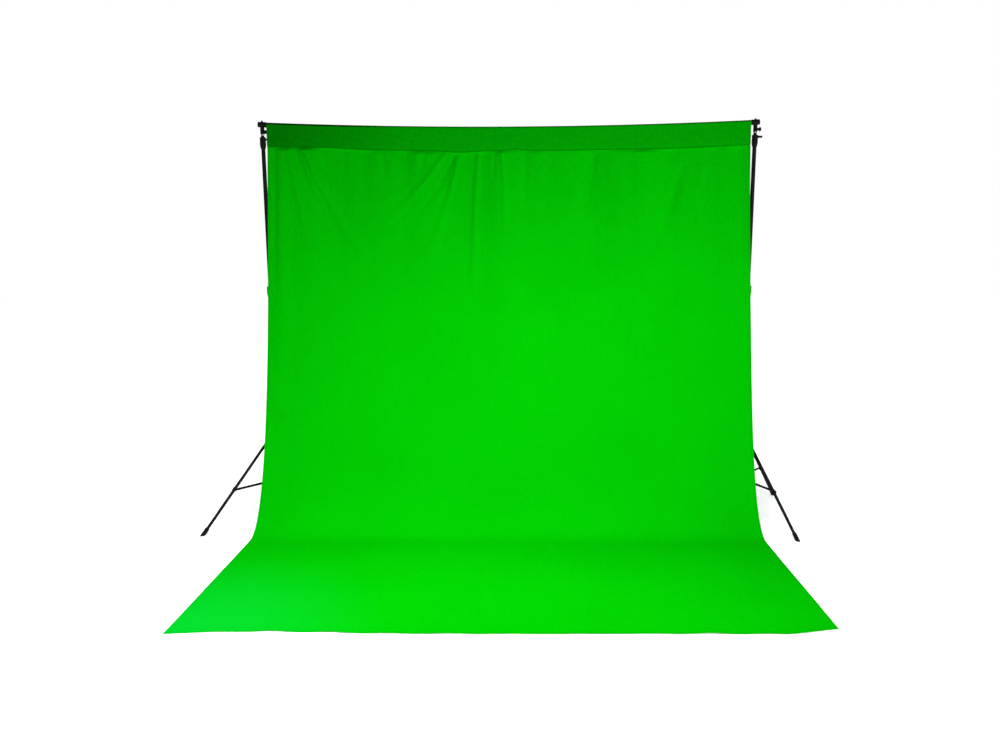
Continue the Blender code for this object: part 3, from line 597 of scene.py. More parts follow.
def fanned(turns, make):
    """Meshes made anew for each leg, turned about the Z axis."""
    return [spun(mesh, turn) for turn in turns for mesh in make()]


def gathered(meshes):
    """Several meshes as one, and the first ones removed."""
    bm = bmesh.new()
    for mesh in meshes:
        bm.from_mesh(mesh)
        bpy.data.meshes.remove(mesh)
    return mesh_of(bm)


def evaluated(mesh, set_up):
    """The mesh after the modifiers that set_up puts on its object."""
    holder = linked("helper", mesh)
    set_up(holder)
    bpy.context.view_layer.update()
    shown = holder.evaluated_get(bpy.context.evaluated_depsgraph_get())
    result = bpy.data.meshes.new_from_object(shown)
    bpy.data.objects.remove(holder)
    bpy.data.meshes.remove(mesh)
    return result


def bored(mesh, holes):
    """The mesh with each hole's solid cut out of it."""
    for hole in holes:
        drill = linked("drill", hole)

        def set_up(holder):
            modifier = holder.modifiers.new("Bore", "BOOLEAN")
            modifier.operation = "DIFFERENCE"
            modifier.solver = "MANIFOLD"
            modifier.object = drill

        mesh = evaluated(mesh, set_up)
        bpy.data.objects.remove(drill)
        bpy.data.meshes.remove(hole)
    return mesh


def cast(shapes, holes=(), grain=0.0009, melt=5):
    """Overlapping solids run together into one casting with soft inner corners, then bored."""
    def set_up(holder):
        remesh = holder.modifiers.new("Melt", "REMESH")
        remesh.mode = "VOXEL"
        remesh.voxel_size = grain
        soften = holder.modifiers.new("Soften", "SMOOTH")
        soften.iterations = melt

    return smooth_mesh(bored(evaluated(gathered(shapes), set_up), holes), 50)


# ---------------------------------------------------------------- cloth

def sag_at(x):
    return BAR_SAG * (1 - (x / BAR_HALF_SPAN) ** 2)


def bump_of(distance, half_width):
    """Rounded ridge: 1 on its line, fading within about twice the half width."""
    return np.exp(-(distance / half_width) ** 2)


def eased_step(value, low, high):
    t = np.clip((value - low) / (high - low), 0, 1)
    return t * t * (3 - 2 * t)


def crease(across, below, points, height, thin, wide):
    """Ridge along a line of (across, below) points, widening and fading towards its far end."""
    lengths = [math.dist(a, b) for a, b in zip(points, points[1:])]
    nearest = np.full(across.shape, 1e9)
    share = np.zeros(across.shape)
    done = 0.0
    for (start, end), length in zip(zip(points, points[1:]), lengths):
        run = (np.array(end) - np.array(start)) / length
        along = (across - start[0]) * run[0] + (below - start[1]) * run[1]
        held = np.clip(along, 0, length)
        away = np.hypot(across - start[0] - held * run[0], below - start[1] - held * run[1])
        closer = away < nearest
        nearest = np.where(closer, away, nearest)
        share = np.where(closer, (done + held) / sum(lengths), share)
        done += length
    width = thin + (wide - thin) * share
    return height * bump_of(nearest, width) * (1 - share ** 2) ** 0.7


def folds(across, below):
    """Height of the drop's folds, away from the flat sheet, below the seam."""
    height = np.zeros(across.shape)
    for points, lift, thin, wide in CREASES:
        height += crease(across, below, points, lift, thin, wide)
    for (middle, lowest), span, lift, width in SWAGS:
        line = lowest - 0.5 * (np.abs(across - middle) / span) ** 2 * lowest
        reach = np.clip(1 - ((across - middle) / span) ** 2, 0, 1)
        height += lift * reach * bump_of(below - line, width)
    for wavelength, phase, lift, fade in DROP_WAVES:
        drift = 0.25 * np.sin(2.1 * below + phase)
        wave = np.sin(2 * math.pi * across / wavelength + phase + drift)
        height += lift * wave * np.exp(-np.clip(below, 0, None) / fade)
    return height


def column_places():
    """Places of the sheet's columns across the bar, with extra ones along the side hems."""
    busy = np.arange(-CLOTH_HALF_WIDTH, BUSY_RIGHT_EDGE, BUSY_COLUMN)
    calm = np.arange(BUSY_RIGHT_EDGE, CLOTH_HALF_WIDTH, CALM_COLUMN)
    insets = (0, 0.0015, HEM_WIDTH - HEM_EDGE, HEM_WIDTH + HEM_EDGE)
    hems = [side * (CLOTH_HALF_WIDTH - inset) for side in (-1, 1) for inset in insets]
    places = np.unique(np.round(np.concatenate([busy, calm, hems]), 5))
    kept = [places[0]]
    for column in places[1:]:
        if column - kept[-1] > CLOSEST_COLUMNS:
            kept.append(column)
    return np.array(kept)


def pocket_rows(bar_height, seam_lift):
    """Y, Z and length down the sheet of the pocket: up behind the bar, over it and down to the seam."""
    radius = POCKET_RADIUS + CLOTH_THICKNESS / 2
    depth = POCKET_DEPTH - radius - seam_lift
    tilt = math.asin(radius / depth)
    line = math.sqrt(depth ** 2 - radius ** 2)
    seam = np.array([0.0, bar_height - depth])
    back_seam = seam + np.array([POCKET_BACK_GAP, 0.0])
    angles = np.linspace(-tilt, math.pi + tilt, ARC_ROWS + 1)
    over = np.stack([radius * np.cos(angles), bar_height + radius * np.sin(angles)], axis=1)
    shares = np.linspace(0, 1, POCKET_ROWS + 1)
    behind = back_seam + (over[0] - back_seam) * shares[:, None]
    front = over[-1] + (seam - over[-1]) * shares[:, None]
    rows = np.concatenate([behind[:-1], over, front[1:]])
    turn = radius * (math.pi + 2 * tilt)
    turned = line + turn * np.linspace(0, 1, ARC_ROWS + 1)
    down = np.concatenate([line * shares[:-1], turned, line + turn + line * shares[1:]])
    return rows, down


def sweep_rows(seam_height, reach):
    """Y, Z and length down the sheet, from the seam down the hanging curve to the front edge."""
    low = CLOTH_THICKNESS / 2
    steepest = math.acosh((seam_height - low) / SWEEP_SCALE + 1)
    length = SWEEP_SCALE * math.sinh(steepest)
    run = length * np.linspace(0, 1, DROP_ROWS + 1)[1:] ** DROP_CROWDING
    bend = np.arcsinh(math.sinh(steepest) - run / SWEEP_SCALE)
    heights = low + SWEEP_SCALE * (np.cosh(bend) - 1)
    hanging = np.stack([-SWEEP_REACH * (1 - bend / steepest), heights], axis=1)
    floor_length = reach - SWEEP_REACH
    inset = (HEM_WIDTH + HEM_EDGE) / floor_length
    shares = np.linspace(0, 1, FLOOR_ROWS + 1)[1:]
    shares = np.sort(np.append(shares, [1 - inset, 1 - inset * 0.85, 1 - inset * 0.1]))
    lying = np.stack([-(SWEEP_REACH + floor_length * shares), np.full(shares.shape, low)], axis=1)
    return np.concatenate([hanging, lying]), np.concatenate([run, length + floor_length * shares])


def flat_sheet(across):
    """Smooth sheet: points of every column and row, with each row's nominal length down the cloth."""
    points = []
    for x in across:
        lift = sum(height * math.exp(-((x - middle) / width) ** 2) for middle, height, width in SEAM_WAVES)
        pocket, _ = pocket_rows(BAR_MIDDLE.z - sag_at(x), lift)
        share = (x + CLOTH_HALF_WIDTH) / (2 * CLOTH_HALF_WIDTH)
        reach = FRONT_EDGE_LEFT + (FRONT_EDGE_RIGHT - FRONT_EDGE_LEFT) * share
        reach += FRONT_BULGE * np.interp(x, *zip(*FRONT_BULGE_PLACES))
        sweep, _ = sweep_rows(pocket[-1, 1], reach)
        rows = np.concatenate([pocket, sweep])
        points.append(np.column_stack([np.full(len(rows), x), rows]))
    pocket, pocket_down = pocket_rows(BAR_MIDDLE.z - sag_at(0), 0.0)
    _, sweep_down = sweep_rows(pocket[-1, 1], (FRONT_EDGE_LEFT + FRONT_EDGE_RIGHT) / 2)
    down = np.concatenate([pocket_down, pocket_down[-1] + sweep_down])
    return np.array(points), down, len(pocket) - 1


def sheet_normals(points):
    """Unit normals of the grid, pointing to the front of the drop and up from the floor."""
    normals = np.cross(np.gradient(points, axis=1), np.gradient(points, axis=0))
    return normals / np.linalg.norm(normals, axis=2, keepdims=True)


def drop_height(across, below):
    return folds(across, below) * eased_step(below, 0.0, 0.02) * (1 - eased_step(below, *DROP_FADE))


def pocket_height(across, below):
    """Puckers and diagonal crumples of the pocket's front."""
    puckers = 0.5 * np.clip(folds(across, -below * 0.3), 0, 0.006)
    diagonal = np.sin(47 * across - 120 * below) * np.sin(9.1 * across + 1.0)
    height = puckers + POCKET_CRUMPLE * (1 + diagonal)
    height *= eased_step(-below, POCKET_DEPTH - 0.02, 0.0) * (1 - eased_step(below, -0.01, 0.0))
    return np.where(below > -POCKET_DEPTH * 0.92, height, 0.0)


def hem_height(across, below, front):
    """Lifts of the front hem, front being the distance from the front edge, negative behind it."""
    lifts = sum(lift * bump_of(across - middle, width) for middle, lift, width in HEM_LIFTS)
    return lifts * np.exp(front / 0.035) * (below > FLOOR_FROM)


def floor_height(across, out, front):
    """Ripples and small creases of the cloth that lies on the floor."""
    ripple = np.sin(5.3 * across + 1.2 * np.sin(3.1 * out)) * np.sin(4.1 * out + 1.7 * across)
    height = FLOOR_RIPPLE * (1 + ripple)
    height += FLOOR_RIPPLE * np.exp(front / 0.06) * (1 + np.sin(26 * across + 9 * out))
    for middle, start, lift in FLOOR_CREASES:
        line = middle + 0.35 * (front - start)
        height += lift * bump_of(across - line, 0.012) * bump_of(front - start, 0.09)
    return height


def folded_sheet(points, down, seam):
    """The sheet with its folds, pocket puckers, floor ripples, lifted hem and uneven edges."""
    across, out, up = points.transpose(2, 0, 1)
    below = np.broadcast_to(down - down[seam], across.shape)
    front = out[:, -1:] - out
    lying = eased_step(up, 0.05, 0.0) * (below > FLOOR_FROM)
    height = drop_height(across, below) + pocket_height(across, below)
    height += hem_height(across, below, front) + lying * floor_height(across, out, front)
    folded = points + sheet_normals(points) * height[:, :, None]
    edge = 0.004 * np.sin(7 * across + 2) + 0.0015 * np.sin(23 * across)
    edge -= 0.020 * np.exp(-(across + CLOTH_HALF_WIDTH) / 0.10)
    folded[:, :, 1] += edge * np.exp(front / 0.10) * lying
    side = np.sign(across) * eased_step(np.abs(across), CLOTH_HALF_WIDTH - 0.25, CLOTH_HALF_WIDTH)
    wander = -0.0018 * (1 + np.sin(2.7 * below + across)) * eased_step(below, 0.0, 0.4)
    folded[:, :, 0] += side * wander
    return folded


def hem_weights(across, down):
    """1 on the hems, which are sewn double, less on single cloth."""
    on_side = CLOTH_HALF_WIDTH - np.abs(across)[:, None] < HEM_WIDTH
    on_front = (down[-1] - down)[None, :] < HEM_WIDTH
    return np.where(on_side | on_front, 1.0, 1 / HEM_THICKNESS)


def cloth_mesh(across, flat, down, seam):
    """Mesh of the folded sheet, with its cut lengths as texture coordinates."""
    folded = folded_sheet(flat, down, seam) + np.array([BAR_MIDDLE.x, BAR_MIDDLE.y, 0.0])
    columns, rows = folded.shape[:2]
    corners = np.arange(columns * rows).reshape(columns, rows)
    quads = np.stack([corners[:-1, :-1], corners[:-1, 1:], corners[1:, 1:], corners[1:, :-1]], axis=2)
    mesh = bpy.data.meshes.new("cloth_sweep")
    mesh.from_pydata(folded.reshape(-1, 3).tolist(), [], quads.reshape(-1, 4).tolist())
    cut = mesh.uv_layers.new(name="cut")
    where = np.stack(np.broadcast_arrays((across + CLOTH_HALF_WIDTH)[:, None], down[None, :]), axis=2)
    corner_of = np.zeros(len(mesh.loops), dtype=np.int32)
    mesh.loops.foreach_get("vertex_index", corner_of)
    cut.data.foreach_set("uv", where.reshape(-1, 2)[corner_of].ravel())
    mesh.shade_smooth()
    return mesh


def build_cloth():
    across = column_places()
    flat, down, seam = flat_sheet(across)
    mesh = cloth_mesh(across, flat, down, seam)
    mesh.materials.append(cloth_finish(down[seam], down[-1], down[POCKET_ROWS + ARC_ROWS // 2]))
    cloth = linked("cloth_sweep", mesh)
    weights = hem_weights(across, down).ravel()
    group = cloth.vertex_groups.new(name="hems")
    for weight in np.unique(weights):
        group.add(np.nonzero(weights == weight)[0].tolist(), float(weight), "REPLACE")
    thick = cloth.modifiers.new("Thickness", "SOLIDIFY")
    thick.thickness = CLOTH_THICKNESS * HEM_THICKNESS
    thick.offset = 0.0
    thick.vertex_group = "hems"
    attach(cloth, "crossbar")
    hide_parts("backdrop_cloth")


# ---------------------------------------------------------------- crossbar

def bar_ring(x, radius):
    """Ring of the bar's tube, with Z along the bar and X downwards."""
    centre = Vector((sag_at(x) - BAR_MIDDLE.z, 0, x))
    return [centre + point for point in circle(radius, 0)]


def bar_section(start, end, swaged):
    """One tube of the bar with rolled lips, and a reduced end if it plugs into the next one."""
    inner = BAR_RADIUS - BAR_WALL
    count = round((end - start) / BAR_STEP)
    steps = [start + (end - start) * i / count for i in range(1, count)]
    outside = [(start, inner + 0.0003), (start, BAR_RADIUS - 0.0005), (start + 0.0005, BAR_RADIUS)]
    outside += [(x, BAR_RADIUS) for x in steps]
    outside += [(end - 0.0008, BAR_RADIUS), (end, BAR_RADIUS - 0.0008)]
    inside = [(x, inner) for x in reversed(steps)] + [(start + 0.0003, inner)]
    if swaged:
        tip = end + SWAGE_LENGTH
        bore = SWAGE_RADIUS - BAR_WALL
        outside += [(end + 0.0002, SWAGE_RADIUS), (tip - SWAGE_TAPER, SWAGE_RADIUS)]
        outside += [(tip, SWAGE_RADIUS - 0.0008)]
        inside = [(tip, bore), (end - BAR_WALL, bore), (end - 2 * BAR_WALL, inner)] + inside
    else:
        inside = [(end, inner + 0.0003), (end - 0.0003, inner)] + inside
    return stack([bar_ring(x, radius) for x, radius in outside + inside], hollow=True)


def build_bar():
    length = 2 * BAR_HALF_LENGTH / BAR_SECTIONS
    matrix = Matrix.Translation((BAR_MIDDLE.x, BAR_MIDDLE.y, 0)) @ Matrix.Rotation(math.pi / 2, 4, "Y")
    for number in range(1, BAR_SECTIONS + 1):
        start = -BAR_HALF_LENGTH + (number - 1) * length
        swaged = number < BAR_SECTIONS
        buttons = [start + SWAGE_LENGTH / 2] if number > 1 else []
        buttons += [start + length + SWAGE_LENGTH / 2] if swaged else []
        holes = []
        for x in buttons:
            drill = side_rod(BUTTON_HOLE_RADIUS, BAR_RADIUS * 0.5, BAR_RADIUS + 0.003, x, sides=24)
            holes.append(shifted(drill, x=sag_at(x) - BAR_MIDDLE.z))
        mesh = bored(bar_section(start, start + length - GAP, swaged), holes)
        show(f"bar_section_{number}", smooth_mesh(mesh), "black_tube", matrix)


# ---------------------------------------------------------------- screws and handles

def lobed_ring(radius, height, sides=96):
    points = []
    for i in range(sides):
        angle = 2 * math.pi * i / sides
        reach = radius * (1 - 0.05 * (1 + math.cos(KNOB_LOBES * angle)))
        points.append(Vector((reach * math.cos(angle), reach * math.sin(angle), height)))
    return points


def lobed_knob(start, stem_end):
    """Round screw knob with soft lobes and a dished face, along +X."""
    shares = [(0.45, 0.0), (0.60, 0.0002), (1, 0.005), (1, 0.013), (0.80, 0.016), (0.62, 0.0154),
              (0.35, 0.0150)]
    grip = [(KNOB_RADIUS * share, height) for share, height in shares]
    rings = [lobed_ring(radius, stem_end + height) for radius, height in eased(grip, 0.0022, steps=5)]
    stem = capped(SCREW_RADIUS, start, stem_end + 0.003, 0.0005)
    return smooth_mesh(along_x(gathered([stack(rings), stem])))


def t_handle(start, hub_start):
    """Screw with a moulded T handle along +X, the bar of the T level."""
    stem = capped(SCREW_RADIUS, start, hub_start + 0.002, 0.0005)
    hub = capped(0.0065, hub_start, hub_start + 0.011, 0.0010)
    reach = T_HALF_LENGTH - T_HALF_HEIGHT
    outline = arc(reach, 0, T_HALF_HEIGHT, -90, 90) + arc(-reach, 0, T_HALF_HEIGHT, 90, 270)
    waist = [(x, z * (0.80 + 0.20 * min(1, abs(x) / reach))) for x, z in outline]
    grip = spun(plate(waist, 0, 0.009), math.radians(-90))
    head = cast([along_x(hub), shifted(grip, x=hub_start + 0.008)], grain=0.0006, melt=7)
    return smooth_mesh(gathered([head, along_x(stem)]))


def hex_screw():
    """Clamp screw with a chamfered six-sided head, along +Z above the bar's axis."""
    seat = SLEEVE_RADIUS + CROWN_PROUD + GAP
    head = [(0.0062, 0.0), (0.0065, 0.0004), (0.0065, 0.0052), (0.0056, 0.006)]
    rings = [circle(radius, seat + height, 6) for radius, height in head]
    stem = capped(SCREW_RADIUS, BAR_RADIUS + GAP, seat + 0.002, 0.0004)
    return smooth_mesh(gathered([stack(rings), stem]), 30)


def headed_pin(length, head_radius=0.0050, head_height=0.0014):
    """Pin along Y through a joint, with a domed head at each end."""
    half = length / 2
    tip = half + head_height
    profile = [(0, -tip), (head_radius * 0.8, -tip), (head_radius, -half), (PIN_RADIUS, -half)]
    profile += [(PIN_RADIUS, half), (head_radius, half), (head_radius * 0.8, tip), (0, tip)]
    return along_y(lathe(profile, 0.0005, sides=28))


# ---------------------------------------------------------------- mast

def bracket(bar_height, slope, knob_turn):
    """Casting with a sleeve for the bar over a socket for the spigot."""
    tilt = Matrix.Translation((0, 0, bar_height)) @ Matrix.Rotation(-slope, 4, "Y")
    half = SLEEVE_LENGTH / 2
    flange = TUBES["top_tube"][3] + GAP + SPIGOT_FLANGE
    low = flange + GAP
    screw = bar_height - BRACKET_SCREW_DROP
    face = SOCKET_RADIUS + BOSS_PROUD
    top = bar_height + SLEEVE_RADIUS + CROWN_PROUD
    shapes = [moved(along_x(capped(SLEEVE_RADIUS, -half, half, 0.0012)), tilt),
              capped(SOCKET_RADIUS, low, bar_height, 0.0012),
              rod(BOSS_RADIUS * 0.9, bar_height + BAR_RADIUS, top),
              side_rod(BOSS_RADIUS, 0.005, face, screw, knob_turn)]
    for end in (-1, 1):
        lip = capped(SLEEVE_RADIUS + 0.0007, -0.0022, 0.0022, 0.0008)
        shapes.append(moved(shifted(along_x(lip), x=end * (half - 0.0024)), tilt))
    holes = [moved(along_x(rod(BAR_RADIUS + GAP, -2 * half, 2 * half)), tilt),
             rod(SPIGOT_RADIUS + GAP, low - DRILL_OVER, flange + SPIGOT_POST + 3 * GAP),
             screw_hole(0.004, face, screw, knob_turn),
             rod(SCREW_RADIUS + GAP, bar_height, top + DRILL_OVER, 24)]
    return cast(shapes, holes, grain=0.0008)


def spigot(screw):
    """Stud in the top tube: shank, flange and a post with a waist for the bracket's screw."""
    flange = TUBES["top_tube"][3] + GAP
    post = flange + SPIGOT_FLANGE
    top = post + SPIGOT_POST
    shank = TUBES["top_tube"][1] - GAP
    rim = TUBES["top_tube"][0] + 0.001
    slant = GROOVE_HALF_HEIGHT + 0.002
    profile = [(0, flange - SPIGOT_SHANK), (shank, flange - SPIGOT_SHANK), (shank, flange), (rim, flange)]
    profile += [(rim, post), (SPIGOT_RADIUS, post), (SPIGOT_RADIUS, screw - slant)]
    profile += [(GROOVE_RADIUS, screw - GROOVE_HALF_HEIGHT), (GROOVE_RADIUS, screw + GROOVE_HALF_HEIGHT)]
    profile += [(SPIGOT_RADIUS, screw + slant), (SPIGOT_RADIUS, top - 0.001), (SPIGOT_RADIUS - 0.001, top)]
    return smooth_mesh(lathe(profile + [(0, top)], 0.0005))


def collar(outer_tube, inner_tube, bottom, top, screw, turn):
    """Moulded clamp collar with grip ribs, a bored boss and a step for the outer tube's end."""
    wide = TUBES[outer_tube][0] + GAP
    narrow = TUBES[inner_tube][0] + GAP
    body = narrow + COLLAR_WALL
    face = body + BOSS_PROUD
    profile = [(0, bottom), (wide + 0.002, bottom), (body, bottom + 0.020), (body, top - 0.003)]
    profile += [(body - 0.003, top), (0, top)]
    shapes = [lathe(profile, 0.0010), side_rod(BOSS_RADIUS, narrow, face, screw)]
    outline = arc(body - 0.0013, 0, 0.0018, -90, 90, 8) + [(body - 0.003, 0.0018), (body - 0.003, -0.0018)]
    for i in range(COLLAR_RIBS):
        rib = moved(plate(outline, -0.009, 0.009), Matrix.Rotation(math.pi / 2, 4, "X"))
        shapes.append(spun(shifted(rib, z=bottom + 0.031), 2 * math.pi * (i + 0.5) / COLLAR_RIBS))
    holes = [rod(narrow, bottom - 0.01, top + 0.01), rod(wide, bottom - 0.01, TUBES[outer_tube][3] + GAP),
             screw_hole(narrow - 0.004, face, screw)]
    return spun(cast(shapes, holes, grain=0.0007, melt=3), turn)


def local_turn(joint, stand):
    """Angle about the mast of a screw joint's axis."""
    axis = stand.to_3x3().inverted() @ direction(joint)
    return math.atan2(axis.y, axis.x)


def screw_matrix(stand, height, turn):
    return stand @ Matrix.Translation((0, 0, height)) @ Matrix.Rotation(turn, 4, "Z")


def build_mast(name, side, stand, bar_height):
    lean = abs(math.asin(direction(f"{name}_stand_swivel").x))
    slope = side * (math.atan(2 * BAR_SAG / BAR_HALF_SPAN) + lean)
    screw = bar_height - BRACKET_SCREW_DROP
    turn = local_turn(f"{name}_bracket_knob_turn", stand)
    show(f"{name}_bracket", bracket(bar_height, slope, turn), "black_casting", stand)
    knob = lobed_knob(GROOVE_RADIUS + 2 * GAP, SOCKET_RADIUS + BOSS_PROUD + GAP)
    show(f"{name}_bracket_knob", knob, "black_handle", screw_matrix(stand, screw, turn))
    show(f"{name}_bar_screw", hex_screw(), "bright_steel", screw_matrix(stand, bar_height, 0))
    show(f"{name}_spigot", spigot(screw), "bright_steel", stand)
    for tube, sizes in TUBES.items():
        show(f"{name}_{tube}", smooth_mesh(pipe(*sizes)), "black_tube", stand)
    for part, (outer, inner, bottom, top, screw) in COLLARS.items():
        turn = local_turn(f"{name}_{part}_handle_turn", stand)
        show(f"{name}_{part}", collar(outer, inner, bottom, top, screw, turn), "black_casting", stand)
        reach = TUBES[inner][0]
        handle = t_handle(reach + 2 * GAP, reach + GAP + COLLAR_WALL + BOSS_PROUD + GAP)
        show(f"{name}_{part}_handle", handle, "black_handle", screw_matrix(stand, screw, turn))


# ---------------------------------------------------------------- tripod

def floor_slopes(lean, turn):
    """Rise of the floor in the leaning mast's frame, outward along a leg and sideways."""
    return math.tan(lean) * math.cos(turn), -math.tan(lean) * math.sin(turn)


def leg_spread(lean, turn):
    """Angle between a leg and the mast when its sole is on the floor."""
    outward = floor_slopes(lean, turn)[0]
    height = LEG_PIVOT_HEIGHT - outward * PIVOT_RADIUS
    return math.atan(outward) + math.acos(height / (LEG_LENGTH * math.hypot(1, outward)))


def brace_line(lean, turn):
    """Length of a brace and its slope above level."""
    spread = leg_spread(lean, turn)
    across = CLAMP_DISTANCE * math.sin(spread)
    up = LEG_PIVOT_HEIGHT - CLAMP_DISTANCE * math.cos(spread) - BRACE_PIVOT_HEIGHT
    return math.hypot(across, up), math.atan2(up, across)


def leg_tube():
    """Leg from its pivot down -Z: a rounded solid top over an open tube."""
    end = LEG_END_GAP - LEG_LENGTH
    bore = LEG_RADIUS - LEG_WALL
    profile = [(0, LEG_RADIUS), (LEG_RADIUS - 0.002, LEG_RADIUS), (LEG_RADIUS, LEG_RADIUS - 0.002)]
    profile += [(LEG_RADIUS, end), (bore, end), (bore, -0.024), (0, -0.024)]
    mesh = lathe(profile, 0.0012, sides=44)
    pin_hole = along_y(rod(PIN_RADIUS + GAP, -2 * LEG_RADIUS, 2 * LEG_RADIUS, 24))
    return smooth_mesh(bored(mesh, [pin_hole]))


def foot_cup(lean, turn):
    """Ribbed rubber cup on the leg's end, its sole cut level with the floor."""
    spread = leg_spread(lean, turn)
    outward, sideways = floor_slopes(lean, turn)
    fall = math.cos(spread) + outward * math.sin(spread)

    def sole(radius, lift):
        points = []
        for point in circle(radius, 0, 44):
            reach = PIVOT_RADIUS + point.x * math.cos(spread)
            rise = outward * reach + sideways * point.y - LEG_PIVOT_HEIGHT - point.x * math.sin(spread)
            points.append(Vector((point.x, point.y, rise / fall + lift)))
        return points

    bore = LEG_RADIUS + GAP
    rim = FOOT_HEIGHT - LEG_LENGTH
    dip = FOOT_RADIUS - 0.0009
    wall = [(FOOT_RADIUS, rim - 0.022), (FOOT_RADIUS, rim - 0.018)]
    for rib in (rim - 0.016, rim - 0.012, rim - 0.008):
        wall += [(FOOT_RADIUS, rib), (dip, rib + 0.0008), (dip, rib + 0.0022), (FOOT_RADIUS, rib + 0.0030)]
    wall += [(FOOT_RADIUS, rim - 0.0012), (FOOT_RADIUS - 0.0008, rim), (bore, rim)]
    wall.append((bore, LEG_END_GAP - GAP - LEG_LENGTH))
    rings = [sole(FOOT_RADIUS - 0.0010, 0.0), sole(FOOT_RADIUS, 0.0010)]
    rings += [circle(radius, height, 44) for radius, height in wall]
    return smooth_mesh(stack(rings))


def leg_clamp():
    """Moulded band round the leg with a boss for the brace's rivet."""
    middle = -CLAMP_DISTANCE
    band = capped(CLAMP_RADIUS, middle - CLAMP_LENGTH / 2, middle + CLAMP_LENGTH / 2, 0.0012)
    boss = shifted(along_y(rod(0.0065, 0.004, BRACE_FACE - GAP)), z=middle)
    bore = rod(LEG_RADIUS + GAP, middle - CLAMP_LENGTH, middle + CLAMP_LENGTH)
    return cast([band, boss], [bore], melt=3)


def brace_strip(length):
    """Pressed strip along +X with rounded edges, a pivot hole and a rivet at its far end."""
    far = BRACE_FACE + BRACE_THICKNESS
    soft = 0.0006
    layers = [(BRACE_FACE, BRACE_HALF_WIDTH - soft), (BRACE_FACE + soft, BRACE_HALF_WIDTH)]
    layers += [(far - soft, BRACE_HALF_WIDTH), (far, BRACE_HALF_WIDTH - soft)]
    rings = []
    for y, half in layers:
        outline = arc(0, 0, half, 90, 270) + arc(length, 0, half, -90, 90)
        rings.append([Vector((x, y, z)) for x, z in outline])
    hole = along_y(rod(PIN_RADIUS + GAP, BRACE_FACE - DRILL_OVER, far + DRILL_OVER, 24))
    strip = bored(stack(rings), [hole])
    profile = [(0, far - 0.001), (0.0045, far - 0.001), (0.0045, far + 0.0008), (0.0030, far + 0.0018)]
    rivet = lathe(profile + [(0, far + 0.0018)], 0.0005, sides=28)
    return smooth_mesh(gathered([strip, shifted(along_y(rivet), x=length)]))


def leg_ears():
    """Two ears out along +X that hold one leg."""
    close = LEG_RADIUS + GAP
    far = close + EAR_THICKNESS
    root = HUB_RADIUS - 0.004
    outline = [(root, LEG_PIVOT_HEIGHT - 0.010)]
    outline += arc(PIVOT_RADIUS, LEG_PIVOT_HEIGHT, EAR_RADIUS, -70, 90) + [(root, LEG_PIVOT_HEIGHT + 0.012)]
    return [plate(outline, close, far), plate(outline, -far, -close)]


def leg_pin():
    pin = headed_pin(2 * (LEG_RADIUS + GAP + EAR_THICKNESS))
    return [shifted(pin, x=PIVOT_RADIUS, z=LEG_PIVOT_HEIGHT)]


def leg_hub(turns, lock_turn):
    """Sliding hub of the leg tops: body, ears, locking boss and headed pins."""
    bore = TUBES["base_tube"][0] + GAP
    low = LEG_PIVOT_HEIGHT - HUB_BELOW
    high = LEG_PIVOT_HEIGHT + HUB_ABOVE
    face = HUB_RADIUS + HUB_BOSS_PROUD
    screw = LEG_PIVOT_HEIGHT + HUB_SCREW_RISE
    shapes = [capped(HUB_RADIUS, low, high, 0.0015), side_rod(BOSS_RADIUS, bore, face, screw, lock_turn)]
    holes = [rod(bore, low - 0.01, high + 0.01), screw_hole(bore - 0.004, face, screw, lock_turn)]
    hub = cast(shapes + fanned(turns, leg_ears), holes, grain=0.0008, melt=3)
    return gathered([hub] + fanned(turns, leg_pin))


def brace_lug():
    """Root and lug beside one brace, out along +X."""
    close = BRACE_FACE + BRACE_THICKNESS + GAP
    low = BRACE_PIVOT_HEIGHT - 0.012
    high = BRACE_PIVOT_HEIGHT + 0.012
    block = [(0.005, low), (BRACE_FACE, low), (BRACE_FACE, high), (0.005, high)]
    outline = [(0.005, low)] + arc(PIVOT_RADIUS, BRACE_PIVOT_HEIGHT, 0.0070, -90, 90) + [(0.005, high)]
    return [plate(block, BRACE_FACE - 0.0012, close + 0.002), plate(outline, close, close + LUG_THICKNESS)]


def brace_pin():
    pin = capped(PIN_RADIUS, BRACE_FACE - GAP, BRACE_FACE + BRACE_THICKNESS + GAP + 0.001, 0.0003)
    return [shifted(along_y(pin), x=PIVOT_RADIUS, z=BRACE_PIVOT_HEIGHT)]


def brace_hub(turns):
    """Fixed cup on the foot of the base tube, with a lug and a pin for each brace."""
    floor = TUBES["base_tube"][2] - GAP
    base = floor - 0.006
    rim = BRACE_PIVOT_HEIGHT + 0.022
    profile = [(0, base), (BRACE_HUB_RADIUS - 0.002, base), (BRACE_HUB_RADIUS, base + 0.002)]
    shapes = [lathe(profile + [(BRACE_HUB_RADIUS, rim), (0, rim)], 0.0012)]
    bore = rod(TUBES["base_tube"][0] + GAP, floor, rim + DRILL_OVER)
    hub = cast(shapes + fanned(turns, brace_lug), [bore], grain=0.0008, melt=3)
    return gathered([hub] + fanned(turns, brace_pin))


def hinged(aim, height, angle):
    """Place of a leg or brace that hangs from a pivot and is swung up by the angle."""
    return aim @ Matrix.Translation((PIVOT_RADIUS, 0, height)) @ Matrix.Rotation(-angle, 4, "Y")


